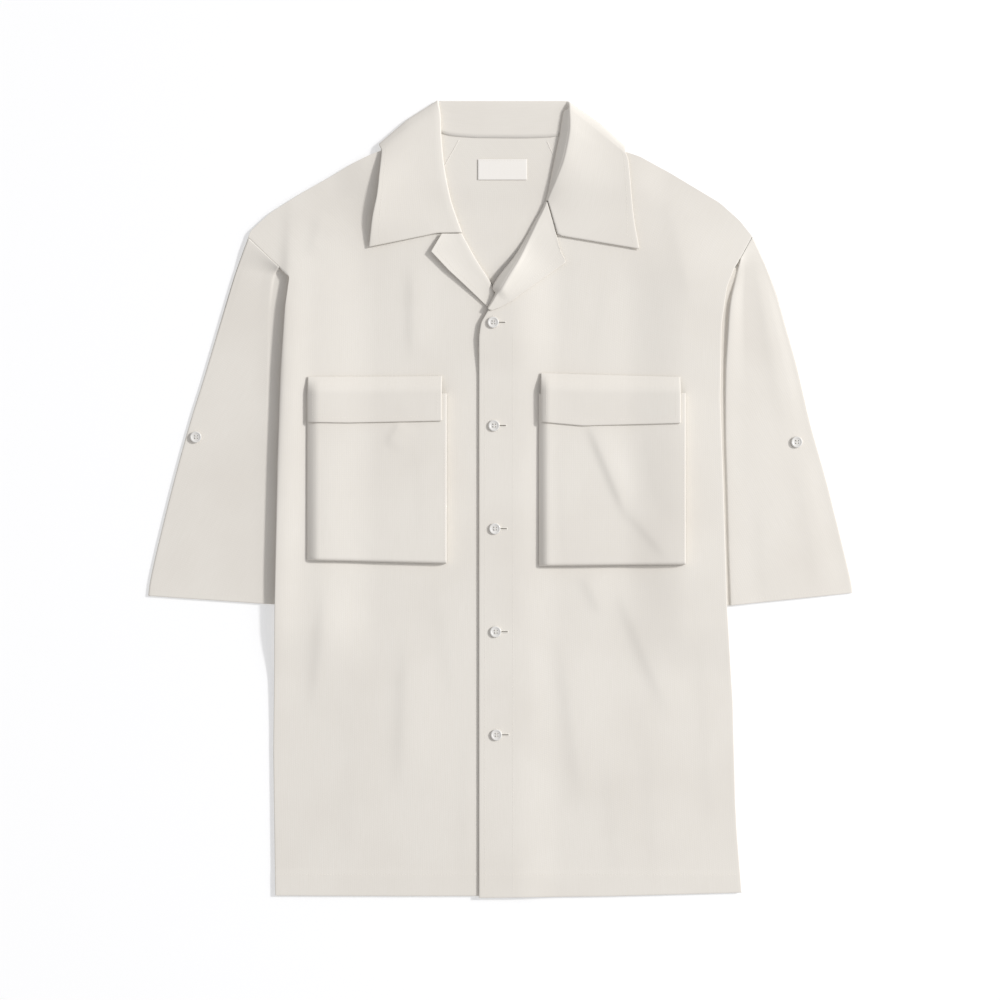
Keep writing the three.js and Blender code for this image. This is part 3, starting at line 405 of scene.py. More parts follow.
# %% Sections of collar and lapels
COLLAR_ROWS = {  # x, y of seam, roll, mid and edge, turn in degrees (-90 below, 90 above), lift of edge and of roll
    "right": [
        (-25, 361.9, -25, 398.5, -38, 362, -50, 326.5, -90, 0, 0),
        (-50, 364, -46, 398.5, -72, 363, -92, 328, -90, 0, 0),
        (-62, 368, -60, 398.5, -91, 368, -117, 343, -90, 0, 0),
        (-65.5, 371.5, -62, 398.3, -91.5, 375.5, -118.6, 352.8, -45, 0, 0),
        (-68.5, 375.5, -62.8, 398, -91.5, 378, -119.8, 353, 0, 0, 0),
        (-70, 374, -62, 393.5, -91, 374, -119.5, 351, 45, 0, -0.1),
        (-73, 366, -60.5, 384, -90, 368, -118.8, 346.5, 90, 1.5, 0),
        (-73, 347, -59.5, 360, -91, 346, -120.8, 327, 90, 4.6, 0),
        (-69.5, 325, -56.5, 331, -90, 319, -123.2, 305, 90, 6.4, 0),
        (-62, 300, -50.5, 301, -84, 295, -127.6, 284, 90, 5.8, 0),
        (-51, 281, -44, 281, -75, 277, -130, 266, 90, 3.4, 0),
        (-43, 267.5, -39, 267, -63.5, 266.5, -131.5, 252.5, 90, 1.2, 0),
    ],
    "left": [
        (25, 361.6, 25, 398.5, 38, 362, 50, 326.5, -90, 0, 0),
        (52, 362.8, 49, 398.5, 74, 363, 94, 328, -90, 0, 0),
        (66, 367, 64, 398.5, 95, 368, 118, 343, -90, 0, 0),
        (69.5, 371, 66.5, 398, 96.5, 373, 119.2, 352.4, -45, 0, 0.3),
        (72.5, 376, 67.8, 397, 97, 375, 122, 351.5, 0, 0, 0.6),
        (71.5, 384, 68.6, 394.5, 97, 371.5, 123.5, 348.5, 45, 0, 1.2),
        (64.4, 388.6, 69.3, 389, 97, 368, 125.8, 345, 90, 0.3, 2.6),
        (61.4, 377, 69.8, 377.5, 97.5, 359, 127.8, 339, 90, 0.4, 4.4),
        (59.4, 364, 69, 364, 98, 346, 129.3, 325, 90, 0.6, 5.4),
        (55, 343, 64, 340, 96, 320, 131.5, 300, 90, 0.6, 5),
        (51, 323, 57, 321, 89, 298, 134, 278, 90, 0.6, 3),
        (47.6, 306, 50, 305, 72, 277, 137, 262, 90, 0.6, 1),
        (46, 299.5, 47.6, 298.6, 57.2, 264.2, 139, 250.5, 90, 0.4, 0.4),
    ],
}
LAPEL_ROWS = {
    "right": [
        (-43, 265.5, -39, 266.2, -49, 266, -58.8, 265.9, 90, 1.6, 0),
        (-41, 261.5, -37, 262, -50, 258.5, -64.2, 256.8, 90, 2.6, 0),
        (-38.3, 256.5, -34.2, 257, -51, 252.5, -69.5, 247.9, 90, 3, 0),
        (-32, 244.5, -27.8, 245, -44.5, 240.5, -61.4, 239.4, 90, 2.8, 0),
        (-25, 233, -20.8, 233.5, -37, 230, -52.2, 229.6, 90, 2.4, 0),
        (-17.5, 221.5, -13.2, 222, -27, 220.7, -39.4, 217.8, 90, 1.6, 0),
        (-11, 208.5, -6.8, 209.5, -16.2, 206.5, -25.8, 205, 90, 0.8, 0),
        (-7.5, 197, -3.7, 197.5, -8, 195.5, -12.6, 192.2, 90, 0.2, 0),
    ],
    "left": [
        (44.9, 298.4, 46.6, 297.6, 52, 279, 56.2, 263, 90, 0.4, 0.4),
        (41, 289.5, 42.8, 288.4, 51.5, 267, 60, 249, 90, 0.5, 0.6),
        (35.3, 279.8, 37.6, 278.2, 52, 257, 65.5, 237.5, 90, 0.5, 1),
        (25.4, 261.8, 28.7, 259.5, 41, 243, 50.5, 226.7, 90, 0.4, 2),
        (14, 242.8, 19.2, 240, 28, 226, 35.3, 216, 90, 0.2, 3.4),
        (-0.6, 224.5, 8.5, 222.5, 15.5, 211.5, 21.5, 206.2, 90, 0, 4.6),
        (-7.7, 212.2, 2, 211.6, 7.5, 203.5, 12.4, 199, 90, 0, 4.4),
        (-5, 206.3, -3.1, 205.5, 1.6, 199.5, 5.6, 195.2, 90, 0, 2),
        (-8.5, 199, -7.2, 198.2, -3.6, 194.2, -1, 191.8, 90, 0, 0.8),
        (-12.6, 191.2, -12.4, 190.2, -10.6, 189.4, -8.8, 188.9, 90, 0, 0.2),
    ],
}
STAND_TURN, SHOULDER_TURN, LAPEL_TURN, STAND_SINK, FALL_GAP = 1.0, 2.8, 0.875, 1.0, 0.45
ROLL_CAP, UNDER_ROLL, BESIDE_SEAM = 1.2, 0.5, 1.6
END_SHARE = 0.45
LEVEL_FROM = 6  # mm inside the roll, where the height of the front under it is read
STAND_STEPS, STAND_TO, ROLL_STEPS = 7, 0.8, 9  # the stand ends at a share of its width, where the roll begins
FALL_MM, FALL_CELL_MM, FALL_FROM = 75, 3.0, 0.045  # the fall's rows, from the share where the roll has ended

def between(values, count):
    """A smooth run through rows: each stretch is the cubic whose slopes are half the rows' next-but-one step."""
    v = np.asarray(values, float)
    v = v.reshape(len(v), -1)
    at = np.linspace(0, len(v) - 1, count)
    k = np.minimum(at.astype(int), len(v) - 2)
    t = (at - k)[:, None]
    a, b, c, d = (v[np.clip(k + o, 0, len(v) - 1)] for o in (-1, 0, 1, 2))
    return b + 0.5 * t * (c - a + t * (2 * a - 5 * b + 4 * c - d + t * (3 * (b - c) + d - a)))

def straight_between(values, count):
    """A run of straight stretches through rows, for an edge that is cut straight and has corners."""
    v = np.asarray(values, float)
    at = np.linspace(0, len(v) - 1, count)
    return np.stack([np.interp(at, range(len(v)), v[:, k]) for k in range(v.shape[1])], -1)

def folded(rows, side, thick, count, turn_radius, edge_run=between):
    """Sections from the seam out to the roll, half round it, and back over the fall to the edge."""
    rows = np.array(rows, float)
    seam, roll, mid = (between(rows[:, k:k + 2], count) for k in (0, 2, 4))
    edge = edge_run(rows[:, 6:8], count)
    at = np.linspace(0, len(rows) - 1, count)
    turn = np.radians(np.interp(at, range(len(rows)), rows[:, 8]))[:, None]
    lift, raised = between(rows[:, 9:], count)[:, :, None].transpose(1, 0, 2)
    back = unit((seam + mid) / 2 - roll)
    outward = unit(edge - roll)[:, ::-1] * [-1, 1]
    outward = outward * np.sign(outward[:, 1:])
    sine, cosine = np.sin(turn), np.cos(turn)
    centre = roll + back * turn_radius
    near = roll + back * LEVEL_FROM
    level = front_z(side, near[:, 0], near[:, 1])[:, None]
    stand_z = level - STAND_SINK * (1 - sine)
    # 0 where the fall lies on its stand, 1 where it has opened out
    opened = smooth(45, 90, np.degrees(turn)) * (side == "left")
    outwards, inwards = unit(mid - roll), unit(seam - roll)
    width = np.linalg.norm(seam - roll, axis=1, keepdims=True)
    cap = np.minimum(ROLL_CAP, width * 0.4)
    rise = CLOTH / 2 + SEAM + thick / 2 + FALL_GAP + raised
    parts = []

    def add_part(p, z, off):
        """Blends the folded section with the open one, whose point lies off mm inside the roll on its stand."""
        inside, outside = np.maximum(off, 0), np.maximum(-off, 0)
        q = np.concatenate([roll + inwards * inside + outwards * outside, level + rise * (1 - inside / width)], 1)
        parts.append(np.concatenate([p, z], 1) * (1 - opened) + q * opened)

    for t in np.linspace(0, STAND_TO, STAND_STEPS):
        p = seam + (centre - seam) * t - outward * turn_radius * t * cosine
        add_part(p, stand_z + raised * t, width + (cap - width) * t / STAND_TO)
    for angle in np.linspace(0, np.pi, ROLL_STEPS):
        p = centre - back * turn_radius * np.sin(angle) - outward * cosine * turn_radius * np.cos(angle)
        z = stand_z + raised + turn_radius * sine * (1 - np.cos(angle))
        add_part(p, z, cap * np.cos(angle))
    start = parts[-1][:, :2]
    turned = 1 - np.abs(sine) ** 8
    shares, thin = stations(FALL_MM, FALL_CELL_MM)
    thin, shares = thin[shares > FALL_FROM], shares[shares > FALL_FROM]
    for t in shares:
        p = start + (mid - start) * t * 2 if t < 0.5 else mid + (edge - mid) * (t * 2 - 1)
        reach = (turn_radius + (SHOULDER_TURN - turn_radius) * min(1, t * 2)) * cosine * np.minimum(1, turned * 1.6)
        p = p + outward * (reach - turn_radius * cosine * (1 - t)) * (1 - opened)
        over = front_z(side, p[:, 0], p[:, 1])[:, None]
        above = over + CLOTH / 2 + SEAM + thick / 2 + lift * t * t + raised * (1 - t) ** 2 + FALL_GAP
        climb = 0.5 + 0.5 * sine
        parts.append(np.concatenate([p, thick / 2 + (above - thick / 2) * climb], 1))
    return np.stack(parts, 1), np.concatenate([np.ones(STAND_STEPS + ROLL_STEPS), thin])

def end_shares(grid, first=True):
    """Thickness shares down a grid: its last row is thin where it ends in an open edge, and its first row too."""
    share = np.ones(grid.shape[0])
    share[-1] = END_SHARE
    if first:
        share[0] = END_SHARE
    return share[:, None]

# %% [markdown]
# The collar is two layers of poplin over an interlining, so it is thicker than the body and keeps its roll.

# %% Collar and lapels
SECTIONS_PER_SIDE = 90
right_part, collar_share = folded(COLLAR_ROWS["right"], "right", COLLAR, SECTIONS_PER_SIDE, STAND_TURN)
left_part, _ = folded(COLLAR_ROWS["left"], "left", COLLAR, SECTIONS_PER_SIDE, STAND_TURN)
middle = np.linspace(0, 1, 15)[1:-1, None, None]
bridge = right_part[0] * (1 - middle) + left_part[0] * middle
collar_grid = np.concatenate([right_part[::-1], bridge, left_part])
collar = wall("collar_cloth", collar_grid, COLLAR * THIN, collar_share[None] * end_shares(collar_grid))

lapels, lapel_grids = {}, {}
for side, count in (("right", 60), ("left", 90)):
    grid, share = folded(LAPEL_ROWS[side], side, CLOTH, count, LAPEL_TURN, straight_between)
    lapel_grids[side] = grid
    lapels[side] = wall(f"lapel_{side}", grid, CLOTH * THIN, share[None] * end_shares(grid))

# %% [markdown]
# The back and the fronts are patches between their own edges. The back lies flat on the surface, and each
# front follows it one ply above. The left front laps over the right one down the middle.

# %% Back and fronts
CELL_MM = 3.2

def body_panel(name, top_rows, foot_rows, first_rows, last_rows, height, across_mm, down_mm):
    u, thin_u = stations(across_mm, CELL_MM)
    v, thin_v = stations(down_mm, CELL_MM)
    top, foot = along(top_rows, u, 3), along(foot_rows, u)
    first, last = along(first_rows, v, 3), along(last_rows, v, 3)
    plan = patch(top, foot, first, last, u, v)
    thin_v = np.where(v < 0.1, 1, thin_v)  # the top edge is a seam: square, so that it meets its neighbour closely
    return wall(name, lifted(plan, height), CLOTH * THIN, np.minimum(thin_u[None], thin_v[:, None]), upright=True)

def beside_seam(side):
    """The front's inner edge: outside the seam of the folded right leaf, or under the roll of the open left one."""
    if side == "left":
        near = [[r[2] + UNDER_ROLL, r[3] - SEAM] for r in COLLAR_ROWS[side][8:] + LAPEL_ROWS[side][1:]]
    else:
        near = [[r[0] - BESIDE_SEAM, r[1] - SEAM] for r in COLLAR_ROWS[side][6:] + LAPEL_ROWS[side][1:]]
    return [SHOULDER[side][-1]] + near

UNDER_PLACKET = [[-8, 188], [4, 172], [12, 160], [12, -396.8]]
OVER_PLACKET = [[-19.5, 177], [-21.5, 163], [-21.5, -398.5]]
NECK_SEAM_MM = 0.6  # the neckline is drawn this much nearer to the collar than its solid, so the seam shows closed
neckline = [[x, y + NECK_SEAM_MM] for x, y in BACK_NECK]
back = body_panel(
    "back_cloth", SHOULDER["right"] + neckline + SHOULDER["left"][::-1],
    [SIDE["right"][-1], [0, -397.5], SIDE["left"][-1]], SIDE["right"], SIDE["left"], back_z, 460, 680)
fronts = {
    "right": body_panel(
        "front_right_cloth", SHOULDER["right"], [SIDE["right"][-1], [-105, -397], UNDER_PLACKET[-1]], SIDE["right"],
        beside_seam("right") + UNDER_PLACKET, lambda x, y: front_z("right", x, y), 235, 780),
    "left": body_panel(
        "front_left_cloth", SHOULDER["left"], [SIDE["left"][-1], [105, -397.2], OVER_PLACKET[-1]], SIDE["left"],
        beside_seam("left") + OVER_PLACKET, lambda x, y: front_z("left", x, y), 245, 790),
}

# %% [markdown]
# A laid sleeve is a flattened tube. Its ring runs from the fold tucked under the body out along the lower layer,
# round the outer fold and back over the upper layer, which crests and then turns down beside the body.

# %% Sleeves
SLEEVE_ROWS = {  # x, y of the outer fold, the crest and the inner fold, and the crest's height, in mm
    "right": [
        (-253, 262.1, -222.4, 233, -212.3, 223.4, 0), (-265.5, 227.5, -229, 221.5, -207, 214, 0.6),
        (-277, 190, -233, 187, -203, 184, 0.2), (-288, 153, -234, 149.5, -201, 147, 0.2),
        (-299, 116, -234.5, 111, -199, 108, 0.2), (-310.5, 79.5, -235, 73, -197, 70, 0.2),
        (-326.5, 21.5, -236, 12, -194, 8, 0.2), (-341.5, -38.5, -238, -48, -191, -52, 0.2),
        (-350.5, -78.5, -237.5, -87, -189, -89, 0.2), (-353, -96.5, -236, -104.5, -188.5, -107, 0.2),
    ],
    "left": [
        (252.4, 263.2, 241.1, 242.2, 234.7, 230.5, 0), (265.5, 235, 237, 223, 215, 214, 1.2),
        (277.5, 203, 231, 197, 206, 190, 2.8), (286.5, 172, 228.5, 165, 202, 160, 2.8),
        (297.5, 132.5, 226.5, 124, 200, 118, 2), (311, 75, 226.5, 64, 197, 58, 1.4),
        (326, 22, 228, 10, 194, 4, 1.2), (340.5, -36, 229.5, -48, 191, -54, 1.2),
        (351, -80, 231, -91, 189, -93, 1.4), (353, -93.5, 231.5, -106, 188.5, -107, 1.6),
    ],
}
SLEEVE_FOLDS = [
    (-262, 235, -300, 60, 10, 0.6), (-250, 180, -262, 20, 9, 0.5), (-300, 20, -322, -90, 11, 0.5),
    (-262, -20, -268, -100, 10, 0.45), (262, 215, 290, 70, 10, 0.6), (245, 150, 256, -10, 11, 0.5),
    (300, 40, 322, -88, 10, 0.55), (262, 0, 270, -100, 12, 0.5),
]
SLEEVE_DROP = 3.5
SLEEVE_SECTIONS = 130
GENTLE, GENTLE_TO, STEEP_FROM = 0.4, 0.4, 0.72  # 0.4 of the crest's height comes early, the rest near the crest
LOWER_STEPS, UPPER_STEPS, DROP_STEPS, BEND_STEPS = 40, 42, 10, 9
ARMHOLE_SEAM_MM = 0.25  # the sleeve's top is drawn this much nearer to the body, so the seam shows closed
SLEEVE_HEM_SHARE = 0.052  # the turned hem's share of the sleeve's length

def sleeve_sections(side, count):
    """Each column of the table, smoothed over the rows from the armhole to the hem."""
    rows = np.array(SLEEVE_ROWS[side])
    columns = [between(rows[:, k:k + 2], count) for k in (0, 2, 4, 6)]
    nearer = ARMHOLE_SEAM_MM * (1 - smooth(0, 0.1, np.linspace(0, 1, count)))
    for column in columns[:3]:
        column += np.stack([-nearer * np.sign(column[:, 0]), nearer / 2], -1)
    return columns

def sleeve_front(outer, crest, rise, s, joined):
    """The upper layer at a share of the way from the outer fold to the crest. Joined is 1 at the armhole."""
    p = outer + (crest - outer) * s
    z = CLOTH / 2 + FOLD_PLY + rise[:, 0] * (
        GENTLE * smooth(0, GENTLE_TO, s) + (1 - GENTLE) * smooth(STEEP_FROM, 1, s))
    soft = smooth(0.02, 0.2, s) * smooth(0, 1, rise[:, 0])
    z = z + soft * (ridges(SLEEVE_FOLDS, p[:, 0], p[:, 1]) + ripple(p[:, 0], p[:, 1], 0.1))
    return np.column_stack([p, z + (front_z("right", p[:, 0], p[:, 1]) - z) * joined])

def sleeve(side, count=SLEEVE_SECTIONS):
    outer, crest, inner, rise = sleeve_sections(side, count)
    inward = unit(inner - outer)
    turn = FOLD_PLY / 2
    start, end = inner - inward * (turn + CLOTH / 2), outer + inward * (turn + CLOTH / 2)
    low = np.full((count, 1), CLOTH / 2)
    ring = [np.column_stack([start + (end - start) * t, low]) for t in np.linspace(0, 1, LOWER_STEPS)]

    def bend(centre, way, first, last):
        for a in np.linspace(first, last, BEND_STEPS)[1:-1]:
            z = low + turn + turn * np.sin(a)
            ring.append(np.column_stack([centre + way * turn * np.cos(a), z]))

    bend(end, -inward, -np.pi / 2, np.pi / 2)
    first = (turn + CLOTH / 2) / np.linalg.norm(crest - outer, axis=1).mean()
    joined = 1 - smooth(0, 1 / len(SLEEVE_ROWS[side]), np.linspace(0, 1, count))
    for s in np.linspace(first, 1, UPPER_STEPS):
        ring.append(sleeve_front(outer, crest, rise, s, joined))
    crest_z = ring[-1][:, 2:]
    floor_z = low + FOLD_PLY
    for t in np.linspace(0, 1, DROP_STEPS)[1:]:
        p = crest + inward * SLEEVE_DROP * t
        ring.append(np.column_stack([p, floor_z + (crest_z - floor_z) * (1 - smooth(0, 1, t))]))
    valley = crest + inward * SLEEVE_DROP
    for t in np.linspace(0, 1, DROP_STEPS)[1:]:
        ring.append(np.column_stack([valley + (start - valley) * t, floor_z]))
    bend(start, inward, np.pi / 2, -np.pi / 2)
    grid = np.stack(ring, 1)
    return wall(f"sleeve_{side}_cloth", grid, CLOTH * THIN, end_shares(grid, first=False), ring=True)

sleeves = {side: sleeve(side) for side in ("right", "left")}

# %% [markdown]
# A bellows pocket is a shallow tray of cloth sewn down on three sides and open under its flap. Its gusset shows
# as a slope at the left, because the face is pushed to the right, and the face has the long soft crease of
# the photo. The flap is two layers, sewn along its top, and it climbs over the mouth of the bag.

# %% Pockets and flaps
POCKETS = {
    "right": dict(x=(-192.8, -54), mouth=106, bottom=(-60.5, -64), high=(5, 6.2), slope=(12, 0.5), foot=1.8,
                  flap_x=(-192.4, -58.5), flap_top=(122.5, 123.5), flap_hem=(77, 76.5, 78.5),
                  folds=[(-99, 78, -112, 54, 4.5, 0.7), (-175, 40, -172, -50, 6, 0.2), (-80, 60, -74, -40, 7, 0.2),
                         (-150, -20, -120, -52, 8, 0.2)]),
    "left": dict(x=(38.5, 184.5), mouth=106, bottom=(-66.5, -65), high=(5, 6.2), slope=(10, 0.5), foot=1.8,
                 flap_x=(40.4, 179.5), flap_top=(126.5, 122.5), flap_hem=(77.4, 73.6, 76),
                 folds=[(90, 74, 127, -14, 5.5, 1.5), (128, -10, 166, -54, 6, 0.8), (60, 60, 66, -50, 6, 0.2),
                        (150, 70, 160, 0, 8, 0.2)]),
}
FLAP_THICK, OVER_BAG = 1.8, 0.9
FLAP_MM = (138, 47)
FLAP_HEM_AT = (0, 0.3, 1)  # the shares of the width at which flap_hem gives the hem's y
FLAP_CLIMB = (-0.06, 0.36)  # the shares of the depth between which the flap climbs over the mouth
BAG_CUTS, MOUTH_CUTS = (0.25, 0.5, 0.75, 1), (0.33, 0.66, 1)  # where the slopes at the two sides get a grid line

def bulge(share):
    """How far a slope of cloth has risen: the sine of a quarter turn, raised a little more quickly at its foot."""
    return np.sin(np.clip(share, 0, 1) * np.pi / 2) ** 0.9

def pocket_grid(side, u, v):
    """Height over the front: the face's height times the shares of the slopes at both sides and the foot."""
    p = POCKETS[side]
    width, depth = p["x"][1] - p["x"][0], p["mouth"] - p["bottom"][0]
    x = p["x"][0] + width * u + 0 * v
    foot_y = p["bottom"][0] + (p["bottom"][1] - p["bottom"][0]) * u
    y = p["mouth"] + (foot_y - p["mouth"]) * v
    shares = [u * width / p["slope"][0], (1 - u) * width / p["slope"][1], (1 - v) * depth / p["foot"]]
    share = bulge(shares[0]) * bulge(shares[1]) * bulge(shares[2])
    face = (p["high"][0] + (p["high"][1] - p["high"][0]) * v) * share
    return x, y, front_z(side, x, y) + FOLD_PLY + face + share * ridges(p["folds"], x, y)

def pocket_bag(side):
    p = POCKETS[side]
    width, depth = p["x"][1] - p["x"][0], p["mouth"] - p["bottom"][0]
    even, even_thin = stations(width, 2.0)
    v, thin_v = stations(depth, 2.0)
    slopes = [np.array(BAG_CUTS) * p["slope"][0] / width, 1 - np.array(MOUTH_CUTS) * p["slope"][1] / width]
    u = np.unique(np.concatenate([even, *slopes]))
    thin_u = np.interp(u, even, even_thin)
    grid = stacked(*pocket_grid(side, u[None], v[:, None]))
    return wall(f"pocket_{side}_cloth", grid, CLOTH * THIN, np.minimum(thin_u[None], thin_v[:, None]))

def flap_grid(side, u, v):
    p = POCKETS[side]
    x = p["flap_x"][0] + (p["flap_x"][1] - p["flap_x"][0]) * u
    top = p["flap_top"][0] + (p["flap_top"][1] - p["flap_top"][0]) * u
    hem = np.interp(u, FLAP_HEM_AT, p["flap_hem"])
    y = top + (hem - top) * v
    on_face = bulge((x - p["x"][0]) / p["slope"][0])
    rise = (FOLD_PLY + (p["high"][0] + OVER_BAG + CLOTH - FOLD_PLY) * on_face) * smooth(*FLAP_CLIMB, v)
    return x, y, front_z(side, x, y) + CLOTH / 2 + SEAM + FLAP_THICK / 2 + rise

def pocket_flap(side):
    u, thin_u = stations(FLAP_MM[0], 2.0)
    v, thin_v = stations(FLAP_MM[1], 1.8)
    grid = stacked(*flap_grid(side, u[None], v[:, None]))
    return wall(f"flap_{side}_cloth", grid, FLAP_THICK * THIN, np.minimum(thin_u[None], thin_v[:, None]))

bags = {side: pocket_bag(side) for side in POCKETS}
flaps = {side: pocket_flap(side) for side in POCKETS}

# %% [markdown]
# The neck label is a bare piece of satin tape, smoother and whiter than the shirt.

# %% Neck label
TAPE = {"warp": "#F5F1EC", "weft": "#F2EEE7", "mottle": "#EFEAE3", "roughness": 0.55}
satin = weave_material("satin_tape_woven", TAPE, spacing_mm=0.7, depth=0.06, sheen=0.2)
LABEL_X, LABEL_Y, LABEL_MM = -22.5, 340.5, (49, 20.5)
LABEL_LIFT, LABEL_THICK = 0.35, 0.6

def label_z(x, y):
    return back_z(x, y) + CLOTH / 2 + SEAM + LABEL_LIFT

u, thin_u = stations(LABEL_MM[0], 1.5)
v, thin_v = stations(LABEL_MM[1], 1.5)
label_plan = stacked(LABEL_X + LABEL_MM[0] * u[None], LABEL_Y - LABEL_MM[1] * v[:, None])
label = wall("neck_label_tape", lifted(label_plan, label_z), LABEL_THICK, np.minimum(thin_u[None], thin_v[:, None]),
             upright=True, material=satin)
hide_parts("neck_label")

# %% [markdown]
# Each piece of cloth stands for its plain solid, and its flat size and area are the cut of what shows.

sheets = [
    (back, "back", (0.51, 0.80), 0.357, ["floor"]),
    (fronts["right"], "front_right", (0.27, 0.80), 0.172, [back]),
    (fronts["left"], "front_left", (0.28, 0.80), 0.182, [back]),
    (collar, "collar", (0.50, 0.11), 0.046, [back, fronts["right"], fronts["left"]]),
    (lapels["right"], "facing_right", (0.075, 0.09), 0.0029, [fronts["right"]]),
    (lapels["left"], "facing_left", (0.11, 0.09), 0.0037, [fronts["left"]]),
    (sleeves["right"], "sleeve_right", (0.33, 0.38), 0.085, ["floor"]),
    (sleeves["left"], "sleeve_left", (0.33, 0.38), 0.083, ["floor"]),
    (bags["right"], "pocket_right", (0.155, 0.175), 0.0250, [fronts["right"]]),
    (bags["left"], "pocket_left", (0.162, 0.178), 0.0267, [fronts["left"]]),
    (flaps["right"], "flap_right", (0.137, 0.05), None, [bags["right"]]),
    (flaps["left"], "flap_left", (0.143, 0.053), None, [bags["left"]]),
]
for piece, name, flat, area, rests in sheets:
    declare_cloth(piece, name)

# %% [markdown]
# A seam on a shirt is a row of lockstitches, each about 2 mm of thread that dips into the cloth at both ends. One
# function carries a round section along many short paths at once, and it also makes the button thread, the
# worked edges of the buttonholes and the narrow ridges of the felled seams.

# %% Thread
STITCH_MM, PITCH_MM, THREAD_MM, THREAD_SIDES = 2.3, 3.0, 0.36, 6

thread, tree = new_material("spun_cotton_thread")
nap = node(tree, "ShaderNodeBump", [("Height", noise(tree, Scale=1500.0, Detail=1.0))], Strength=0.2,
           Distance=0.0002)
finish_material(tree, [("Normal", nap.outputs["Normal"])], Base_Color=linear("#EAE5DC"), Roughness=0.8,
                Sheen_Weight=0.15)

def tubes(name, paths, radii, flat=1.0, material=thread):
    """Round each path: p + r cos(a) side + flat r sin(a) up, for a all round. Both ends are closed."""
    paths = np.asarray(paths, float)
    many, steps = paths.shape[:2]
    tangent = unit(np.gradient(paths, axis=1))
    sideways = unit(np.cross(tangent, [0.0, 0.0, 1.0]))
    upward = np.cross(sideways, tangent) * flat
    angle = np.arange(THREAD_SIDES)[:, None] * 2 * np.pi / THREAD_SIDES
    ring = np.cos(angle) * sideways[:, :, None] + np.sin(angle) * upward[:, :, None]
    points = paths[:, :, None] + np.broadcast_to(radii, (steps,))[:, None, None] * ring
    cells, index = ring_cells(steps, THREAD_SIDES)
    fan = np.array([[0, k, k + 1, k + 2] for k in range(1, THREAD_SIDES - 1, 2)])
    faces = np.concatenate([cells, index[0][fan], index[-1][fan[:, ::-1]]])
    faces = (faces[None] + np.arange(many)[:, None, None] * steps * THREAD_SIDES).reshape(-1, 4)
    piece = add_mesh(name, points.reshape(-1, 3), faces, material=material)
    return piece

def stitch_paths(line):
    """Cuts a line on the cloth into stitches a pitch apart, with each one's ends sunk by a thread's thickness."""
    line = np.asarray(line, float)
    at = run_lengths(line)
    starts = np.arange(PITCH_MM / 2, at[-1] - STITCH_MM, PITCH_MM)
    run = starts[:, None] + np.linspace(0, STITCH_MM, 5)
    paths = np.stack([np.interp(run, at, line[:, k]) for k in range(3)], -1)
    paths[..., 2] += THREAD_MM * np.array([-0.7, -0.1, 0.1, -0.1, -0.7])
    return paths

def sew(name, *lines):
    paths = np.concatenate([stitch_paths(line) for line in lines])
    print(name, "stitches:", len(paths))
    return tubes(name, paths, THREAD_MM / 2 * np.array([0.6, 1, 1, 1, 0.6]))

# %% [markdown]
# The seams follow the cloth: each line is read off the surface that it is sewn to, a few millimetres inside the
# edge, as a presser foot guides it. The hem is turned up 24 mm, the flaps and the collar are edge-stitched.

# %% Seams
ON_TOP = CLOTH * THIN / 2
EDGE_STITCH_MM, FLAP_STITCH_MM, HEM_STITCH_MM = 5.5, 5.0, 2.5
HEM_STITCH_X = {"right": (-224, 12), "left": (-20, 238)}
PLACKET_ROWS = ((EDGE_STITCH_MM, 160), (34.0, 168))  # in from the placket's edge, and the y where the row begins
FLAP_TOP_ROWS = (0.05, 0.17)
BAG_STITCH_U, BAG_STITCH_V = (0.008, 0.985), (0.28, 0.985)
FELLED_SEAMS = [((-41.5, 360), (-57.5, 331.5)), ((46.5, 358.5), (52.5, 345.5))]
LEAF_FROM, LAPEL_STITCHED = 38, slice(6, -10)  # the sections of collar and lapels whose edge lies open

def on_front(side, x, y):
    return stacked(x, y, front_z(side, x, y) + ON_TOP)

def raised_line(line, thick):
    """A line of x, y and z on the middle of a wall, raised to its upper side."""
    return stacked(*line) + [0, 0, thick * THIN / 2]

def inside_edge(grid, thick):
    """On each section of a collar or lapel, the point that lies a stitch's inset back from its edge."""
    steps = np.linalg.norm(np.diff(grid[:, ::-1], axis=1), axis=2).cumsum(1)
    last = np.argmax(steps > EDGE_STITCH_MM, 1)
    points = grid[:, ::-1][np.arange(len(grid)), last + 1]
    return points + [0, 0, thick * THIN / 2]

for side, ends in HEM_STITCH_X.items():
    sew(f"hem_stitches_{side}", on_front(side, np.linspace(*ends, 60), HEM_Y + HEM_MM - HEM_STITCH_MM))
placket_x = OVER_PLACKET[1][0]
sew("placket_stitches",
    *(on_front("left", placket_x + inset, np.linspace(top, HEM_Y + 3, 300)) for inset, top in PLACKET_ROWS))

def sew_pocket(side):
    """Rows round the flap and twice along its top, and down both sides of the bag, as shares across and down."""
    across, down = (FLAP_STITCH_MM / length for length in FLAP_MM)
    u, v = np.linspace(across, 1 - across, 60), np.linspace(0.06, 1 - down, 20)
    rows = [(across, v), (u, 1 - down), (1 - across, v), *((u, share) for share in FLAP_TOP_ROWS)]
    sew(f"flap_stitches_{side}", *(raised_line(flap_grid(side, *row), FLAP_THICK) for row in rows))
    v = np.linspace(*BAG_STITCH_V, 60)
    sew(f"pocket_stitches_{side}", *(raised_line(pocket_grid(side, u, v), CLOTH) for u in BAG_STITCH_U))

for side in POCKETS:
    sew_pocket(side)

sew("collar_stitches", *(inside_edge(part[LEAF_FROM:], COLLAR) for part in (right_part, left_part)))
for side, grid in lapel_grids.items():
    sew(f"lapel_stitches_{side}", inside_edge(grid[LAPEL_STITCHED], CLOTH))

